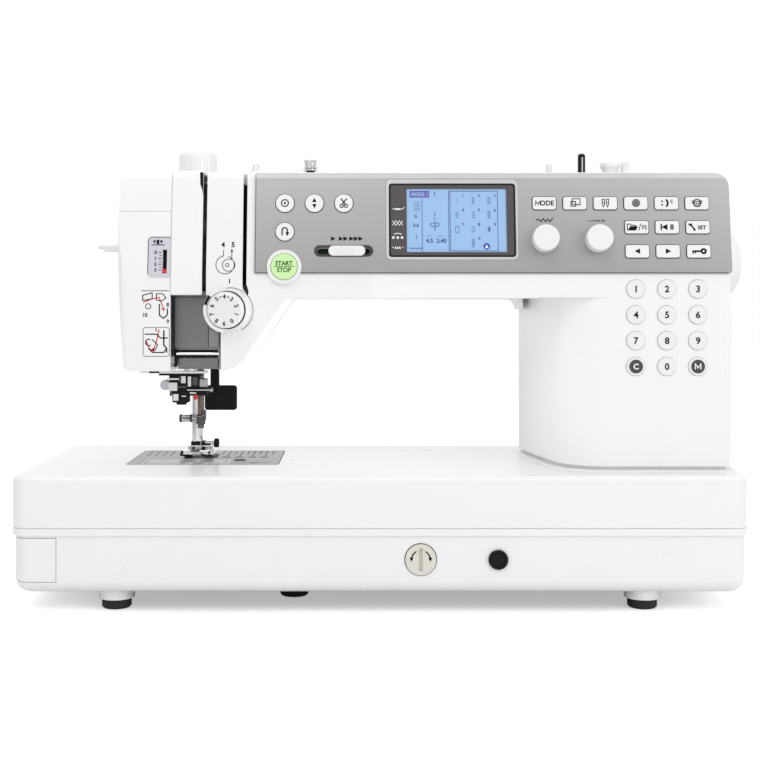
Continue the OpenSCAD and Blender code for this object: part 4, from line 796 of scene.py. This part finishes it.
def slots():
    """Black sheets inside the thread slot and over the mouths of the two thread slots: painted shade that
    makes them look deep.
    """
    dark = Shape("thread_slot_shade", "black")
    for x0, x1 in ((-98.55, -98.3), (-96, -95.75)):
        dark.boxes(((x0, -66.4, 229.9), (x1, -46.2, 240)))
        dark.loft([[bed(x, y, z) for x, y in bar(x0, front, x1, -46.2)]
                   for front, z in ((-66, 240), (-57.6, 304))])
    dark.boxes(((-98.5, -46.6, 229.9), (-95.8, -46.3, 304)), ((-98.5, -66.4, 229.85), (-95.8, -46.3, 230.1)))
    Shape("thread_slot_mouth_shade", "black").fill(
        on_front, [(-95.4, 229.9), (-94.2, 225.6), (-94.6, 222.6), (-98.2, 227.4), (-98.5, 229.9)], 0, 0.05)
    # a black patch over the take-up lever's slot mouth: painted shade
    Shape("take_up_mouth_shade").fill(
        on_panel, [(-129.9, 66), (-128.5, 62), (-127.75, 57.6), (-127.75, 75), (-130.2, 75)], 1.2, 1.26)


def recess():
    """Thread plates and the guide bar over the needle."""
    Shape("recess_plate", "plate_grey", bevel=0.3).boxes(
        ((-149.6, -53.2, 184), (-125, -52.2, 221.6)), ((-126, -51.9, 184), (-123.6, -50.6, 221.6)))
    Shape("recess_leaf", "frame_metal", bevel=0.25).boxes(((-124.4, -54.6, 185.2), (-116.9, -52.6, 197.6)))
    Shape("recess_shadow", "black", bevel=0.2).boxes(
        ((-149.4, -50.5, 177.2), (-116.9, -49.8, 184.4)), ((-149.8, -53, 170.4), (-148.4, -47, 183.8)))
    Shape("recess_bar", "bright").tube([(-148.2, -53.6, 180.2), (-116.9, -53.6, 180.2)], 1.15, 16)
    Shape("recess_guide", "plate_grey", bevel=0.3).boxes(((-146.6, -52, 169.8), (-117, -50.4, 176.8)))


# ------------ needle area
def threader():
    Shape("threader_handle", "shell", "threader", ("threader",), 0.9).boxes(
        ((-213.4, -18, 258.7), (-192, -10.2, 261.4)), ((-208.8, -17.6, 256.6), (-192, -10.6, 261.2)),
        ((-198.6, -17.2, 255.4), (-184.2, -10.6, 261)))
    for name, look, bevel, *corners in (
            ("arm", "dark_steel", 0.4, ((-184.6, -16.8, 254.4), (-144.8, -6.2, 259.8))),
            ("plate", "bright", 0.35, ((-167, -14.6, 163.4), (-131, -3.4, 165.6))),
            ("strip", "black", 0.3,
             ((-167.4, -14.7, 162), (-134, -12.4, 163.5)), ((-175, -13.6, 163.7), (-166.6, -9, 165.4))),
            ("end", "button", 0.5, ((-182.4, -13.2, 163.8), (-174.6, -9.4, 165.3))),
            ("body", "black", 0.7,
             ((-160, -12.4, 155), (-149.5, -3.6, 163.6)), ((-152, -12.8, 152), (-136, -3.6, 163.6)),
             ((-158.6, -12, 147.4), (-150, -4.6, 156)), ((-157.8, -12.6, 149.4), (-130.6, -4, 154.6)),
             ((-157.4, -12.9, 141.2), (-144.6, -4.2, 150)), ((-154.4, -12.2, 139.4), (-147, -5, 142)),
             ((-146, -12, 146.4), (-130.6, -4.4, 150.6))),
            ("bright", "bright", 0.3,
             ((-161.4, -13.8, 158.6), (-151.4, -12.2, 160)), ((-160.2, -13.9, 150.2), (-153.4, -12.4, 156.6)),
             ((-150.6, -13.6, 156), (-147, -12.6, 161.6)), ((-145.4, -14, 153.6), (-142.8, -12.6, 161.4)),
             ((-156.6, -13.4, 142.6), (-152.6, -12.8, 147.8)),
             ((-150.2, -13.3, 145.6), (-146.8, -12.8, 146.6)), ((-144, -13.6, 148), (-139, -12, 149.2))),
            ("grey", "dark_steel", 0.25,
             ((-155, -13.7, 152.4), (-146.2, -12.6, 154)), ((-152.4, -14, 157), (-150.8, -12.4, 161.4)),
             ((-141.8, -13.8, 154.4), (-137.8, -12.4, 160.8)), ((-159.4, -13.2, 146.2), (-157.6, -12, 150))),
            ("cylinder", "steel", 0.9, ((-137, -12.8, 152.8), (-130.6, -6, 159.6)))):
        Shape("threader_" + name, look, "threader", bevel=bevel).boxes(*corners)
    Shape("threader_rod", "chrome", "threader").tube([(-147, -8, 258), (-147, -8, 158)], 2.3, 20)
    Shape("threader_pin", "chrome", "threader").tube(
        [(-146, -13.2, 151), (-128, -13.2, 151)], 0.85, 14).lathe(
        (-128.2, -13.2, 151), RIGHT, [(1.5, 0), (1.6, 0.4), (1.6, 1.6), (1.2, 2)], n=20)
    Shape("threader_knob", "gauge", "threader").lathe(
        (-162.9, -6, 154.6), FORWARD, [(3.2, 0), (3.8, 0.5), (3.9, 1.6), (3.9, 6.2), (3.4, 7.4), (2.4, 7.9),
                                       (2.2, 7.5), (0.6, 7.4)], n=40).tube(
        [(-162.9, -8, 154.6), (-156, -8, 155.4)], 1.5, 16)
    Shape("threader_mark", "red", "threader").lathe(
        (-139.6, -13.2, 147.6), DOWN, [(0.9, 0), (1.35, 0.8), (1.35, 3.2), (1.1, 4)], n=18)


def needle_parts():
    x, y = NEEDLE
    Shape("clamp_body", "dark_steel", "needle_unit", ("needle_clamp",), 0.25).lathe(
        (x, y, 122.3), UP, [(3.1, 0), (3.5, 0.5), (3.5, 7.4), (3, 8)], n=32).boxes(
        ((x + 1.4, y - 3.7, 125.4), (x + 4.2, y + 1.6, 133.6)))
    Shape("clamp_screw", "chrome", "needle_unit").lathe(
        (x - 3.2, y, 127), LEFT, [(1.5, 0), (1.5, 3), (2.2, 3.2), (2.7, 3.8), (2.7, 11.4), (2.3, 12.6)],
        n=96, flutes=20, depth=0.35, rows=(3, 4))
    ends = Shape("clamp_screw_ends", "dark_steel", "needle_unit")
    for x0 in (x - 6.6, x - 14.8):
        ends.lathe((x0, y, 127), LEFT, [(2.6, 0), (3.2, 0.3), (3.2, 1.5), (2.6, 1.9)],
                   n=72, flutes=18, depth=0.3, rows=(1, 2))
    Shape("clamp_guide", "chrome", "needle_unit").tube(
        [(x + 3.4, y - 2.6, 130), (x + 1.2, y - 4.4, 129), (x - 2.6, y - 4.6, 128.6),
         (x - 4.6, y - 3.6, 130.4)], 0.42, 10)
    Shape("needle_shank", "chrome", "needle_unit", ("needle",)).lathe(
        (x, y, 128.4), DOWN, [(1, 0), (1, 15), (0.75, 16.6), (0.45, 18.2), (0.42, 33.4), (0.28, 35.8),
                             (0.05, 37.4)], n=16)


def presser_parts():
    x, y = -141.9, 22
    Shape("presser_rod", "button", "presser").lathe(
        (x - 2.6, y - 3.6, SOLE + 10), UP, [(1.7, 0), (1.7, 37), (1.3, 38.6)], n=24)
    Shape("holder_body", "black", "presser", ("foot_holder",), 0.45).boxes(
        ((x - 5.2, y - 5.4, SOLE + 7.6), (x + 5.6, y + 5.3, SOLE + 10.9)),
        ((x - 3.8, y - 5.8, SOLE + 3.6), (x + 9.8, y - 0.4, SOLE + 8)))
    Shape("holder_bright", "chrome", "presser", bevel=0.25).boxes(
        ((x - 5.4, y - 6, SOLE + 6.6), (x + 9.9, y - 5.2, SOLE + 7.9)),
        ((x + 6.2, y - 5.9, SOLE + 4.2), (x + 9.9, y - 5.3, SOLE + 7.6)),
        ((x - 1.8, y - 6.1, SOLE + 4.6), (x + 2.6, y - 5.5, SOLE + 7))).lathe(
        (x + 5, y, SOLE + 9.2), RIGHT, [(1.5, 0), (1.5, 7.6)], n=20)
    Shape("holder_screw", "black", "presser").lathe(
        (x + 12.4, y, SOLE + 9.2), RIGHT, [(2.2, 0), (3.3, 0.5), (3.6, 1.2), (3.6, 3.2), (3.1, 4),
                                       (1.8, 4.3)], n=96, flutes=16, depth=0.4, rows=(2, 3))


def foot_parts():
    """The zigzag foot: raised toes, sole, ankle lugs and pin."""
    x, y = NEEDLE
    foot = Shape("foot_sole", "chrome", "foot", ("presser_foot",), 0.3)
    toe = [(y - 8.4, SOLE + 2.1), (y - 4, SOLE + 0.05), (y + 18, SOLE + 0.05), (y + 18, SOLE + 1.7),
           (y - 3.4, SOLE + 1.8), (y - 8, SOLE + 3.6)]
    heel = lambda front: [(front, SOLE + 0.05), (y + 18, SOLE + 0.05), (y + 18, SOLE + 1.7),
                          (front, SOLE + 1.8)]
    for x0, x1, side in ((x - 13.4, x - 5.6, toe), (x + 2.6, x + 10.3, toe),
                         (x - 5.9, x + 2.9, heel(y + 1.8)), (x - 5.9, x - 4.5, heel(y - 2.4))):
        foot.loft([[bed(xx, a, b) for a, b in side] for xx in (x0, x1)])
    Shape("foot_lugs", "chrome", "foot", bevel=0.25).boxes(
        *[((x0, 16.2, 98.6), (x0 + 1.9, 23.8, 104.6)) for x0 in (-149.4, -131.6)]).tube(
        [(-147.8, 20, 102.9), (-131.4, 20, 102.9)], 1.15, 16)
    # black patches at the foot's lower corners and on its front: painted shadow
    Shape("foot_shade_patches", "black", "foot", bevel=0.3).boxes(
        ((-154, 3.9, 98.4), (-150.4, 8, 100.4)), ((-135.4, 3.9, 98.4), (-130.6, 8, 100.4)),
        *[((x0, 3.7, z0), (x1, 4.7, z1)) for x0, x1, z0, z1 in (
            (-153.2, -151.2, 98.3, 102.4), (-149.4, -146.6, 98.2, 100.2), (-137, -134.2, 98.2, 100.2),
            (-131.9, -130.2, 98.3, 102), (-146, -138.6, 101.6, 102.6))])
    Shape("foot_bridge", "bright", "foot", bevel=0.6, segments=3).boxes(
        ((-152.6, 5, 99), (-143.4, 15.2, 102.6)), ((-134.4, 5, 99), (-129.9, 15.2, 102.6)),
        ((-152, 4.2, 100.6), (-130.4, 6.2, 102.9)))


def plate_prints():
    """Seam guide lines and their distances in millimetres."""
    ink = Shape("plate_lines")
    for mm in range(15, 60, 5):
        x, long = NEEDLE[0] + mm, mm % 10 == 0
        ink.stroke(on_bed_top, [(x, 18 if long else 30), (x, 52)], 0.4, 0, 0.05)
        if long:
            ink.text(on_bed_top, str(mm), 6.4, x, 12.6, 0, 0.05)
    ink.strokes(on_bed_top, *[(0.4, (-104, y), (-80, y)) for y in (-22, 46)],
                *[(0.4, (x, 20), (x, 50)) for x in (-182, -176, -170, -164)],
                (0.4, (-186, 48), (-164, 48)), w1=0.05)
    Shape("plate_edge").frame(
        on_bed_top, rounded(-189.25, -34.25, -74.75, 55.75, 4.2),
        rounded(-188.75, -33.75, -75.25, 55.25, 3.8), -0.3, 0.04)
    Shape("cover_latch", "black", bevel=0.3).fill(
        on_bed_top, rounded(-110.6, -10, -101.6, -2, 3.2), -0.4, 0.5)
    rim = Shape("bobbin_cover_mark", "print_light", "bobbin_lid")
    rim.stroke(on_bed_top, rounded(-176.6, -27.6, -115.6, -0.4, 3, 4), 0.4, 0, 0.05, closed=True)
    rim.stroke(on_bed_top, [(-146, -26), (-146, -18), (-151, -18)], 0.45, 0, 0.05)


def dial_arrows():
    """Two curved arrows on the feed-balancing dial, its rim and the knee socket's rim."""
    ink = Shape("feed_dial_arrows", body="feed_balance")
    place = moved(on_bed_front, 28.4, 38.2, 1.2)
    for s in (-1, 1):
        a = 90 + s * 28
        ink.arc(place, 0, 0, 6.6, a, s * 58, 0.65).arrow(place, *polar(6.6, a + s * 60), 2.6, a + s * 150)
    Shape("feed_dial_rim", "print_grey").ring(on_bed_front, 28.4, 38.2, 11, 11.4, -0.2, 0.05, n=64)
    Shape("knee_socket_rim", "black").lathe(
        (82.4, -97.2, 38.2), FORWARD, [(4.25, -0.5), (6.4, -0.5), (6.9, 0.05), (6.8, 0.75), (6.1, 1),
                                       (4.9, 0.7), (4.25, -0.3)], n=56)


# ------------ top and side
def top_parts():
    Shape("pressure_knob", "shell", "pressure", ("pressure_dial",)).lathe(
        (-141.9, 22, TOP_Z), UP, [(3, -9), (3, 0.3), (14.4, 0.3), (15, 1), (15, 19.6), (14.6, 21.6),
                                  (13.4, 22.7), (10, 23), (9.6, 22.7), (2, 22.5)],
        n=144, flutes=24, depth=0.55, rows=(4, 5))
    black = Shape("guide_base", "black", replaces=("thread_guides",))
    x, y, eye = -52.4, 10, -97.6
    black.lathe((x, y, TOP_Z), UP, [(1.5, -4), (1.5, -0.05), (5.2, 0), (5.2, 1.4), (3.6, 2.2), (3.6, 7)],
                n=40)
    black.lathe((eye, y, TOP_Z), UP, [(1.4, -4), (1.4, 0), (3, 0), (3, 1.2), (2.2, 1.8)], n=32)
    Shape("guide_discs", "chrome").lathe(
        (x, y, TOP_Z + 7), UP, [(3.2, 0), (5.6, 0.8), (5.8, 1.3), (4, 2), (4, 2.4), (5.4, 3), (5.6, 3.5),
                                (4.2, 4.4), (4.6, 7.6), (5.2, 8.8), (5, 9.2), (3.8, 9)], n=44).tube(
        [(eye, y, 314), (eye, y, 322.5), (eye + 1.2, y, 325.4), (eye + 3.4, y, 326.2), (eye + 4.7, y, 324),
         (eye + 3.4, y, 321.8), (eye + 1, y, 322.2)], 0.45, 12)
    x = 160.1
    Shape("spindle_body", "black", "winder", ("winder_spindle",)).lathe(
        (x, y, TOP_Z), UP, [(3, -12), (3, 0.3), (7.2, 0.3), (7.4, 0.8), (7.2, 2.4), (4, 3), (2.9, 3.4),
                            (2.9, 19.6), (2.5, 20.9), (1.8, 21.4)], n=40)
    Shape("spindle_spring", "chrome", "winder", bevel=0.1).loft(
        [[bed(x + a, y + b, TOP_Z + c) for a, b in bar(-0.5, -3.3, 0.5, -2.4)] for c in (4.5, 12, 18.5)])
    Shape("stopper_body", "button", replaces=("winder_stopper",), bevel=0.25).lathe(
        (182.4, y, TOP_Z), UP, [(1.9, -4), (1.9, 0), (4.8, 0), (4.8, 1), (5.4, 5.2), (6.6, 9.6), (7.7, 10.6),
                                (7.8, 13), (7.3, 13.9), (4, 14)], n=48).boxes(
        ((191.8, 5.2, TOP_Z), (196.2, 14.8, 327.6)), ((186.6, 7.2, TOP_Z), (192.4, 12.8, 315.8)))


def handwheel():
    Shape("wheel_body", "shell", "wheel", ("handwheel",)).lathe((257, 12, 248.5), RIGHT, [
        (13, 0), (24.2, 0), (26.4, 0.8), (27, 2.6), (27, 6.6), (26.7, 11.6), (25.2, 16.6), (22.2, 20.6),
        (19.2, 22.6), (17.2, 23.1), (16.5, 22.3), (15.5, 21.2), (14.3, 22.4), (11.4, 23.6),
        (6.5, 23.95), (2, 23.95)],
        n=216, flutes=36, depth=0.7, rows=(3, 4, 5, 6))
    Shape("wheel_hub", "button", "wheel").lathe(
        (254.05, 12, 248.5), RIGHT, [(6.5, 0), (12.9, 0), (12.9, 2.9), (6.5, 2.9)], n=48)


def side_parts():
    on_side = lambda u, v, w=0: bed(254 + w, u, v)
    Shape("inlet_rim", "black", bevel=0.4).frame(
        on_side, rounded(18.6, 109.2, 49.4, 133.6, 3), rounded(24.2, 114.6, 43.8, 128.2, 1.2), 0, 0.4)
    Shape("inlet_pins", "chrome", bevel=0.2).boxes(
        *[((238.4, u - 0.8, v - 1.7), (250, u + 0.8, v + 1.7))
          for u, v in ((29.4, 119), (38.6, 119), (34, 124.6))])
    Shape("switch_frame", "black", bevel=0.3).frame(
        on_side, rounded(20.4, 143.8, 47.6, 167, 2), rounded(22.9, 146.4, 45.1, 164.4, 0.8), 0, 0.4)
    on_rocker = lambda u, v, w=0: bed(246 + math.sqrt(max(121 - (v - 155.4) ** 2, 0)) + w, u, v)
    Shape("switch_marks", "print_white", "switch").stroke(
        on_rocker, [(34, 158), (34, 161)], 0.6, 0, 0.08).circle(on_rocker, 34, 151.2, 1.6, 0.5, 0, 0.08)
    pins = Shape("handle_pins", "chrome")
    for x, axis in ((-34.05, LEFT), (114.05, RIGHT)):
        pins.lathe((x, 73, 299), axis, [(3.4, -0.4), (3.6, 0.2), (3.2, 0.9), (1, 1.1)], n=28)
    # black crosses for the back screws' slots: painted shade in the slots
    for k, (x, z) in enumerate(((-60, 240), (90, 240), (135, 110), (229, 110))):
        on_back = lambda u, v, w=0: bed(x - u, 65.8 + w, z + v)
        Shape(f"back_screw_slot_shade_{k}", "black").strokes(
            on_back, (0.8, (-2.2, 0), (2.2, 0)), (0.8, (0, -2.2), (0, 2.2)))
    # black strokes for the plate screws' slots: painted shade in the slots
    for k, y in enumerate((-24, 46)):
        Shape(f"plate_screw_slot_shade_{k}", "black").stroke(
            moved(on_bed_top, -93.6, y, -0.1), [(-2.4, -0.8), (2.4, 0.8)], 0.8)


dress_nodes()
for make in (panel_trim, panel_prints, button_icons, key_icons, lcd, gauge, threading_prints, tension_print,
             tension_dial, slots, recess, threader, needle_parts, presser_parts, foot_parts, plate_prints,
             dial_arrows, top_parts, handwheel, side_parts):
    make()
for shape in Shape.made:
    shape.done()
stage()
bpy.context.view_layer.update()
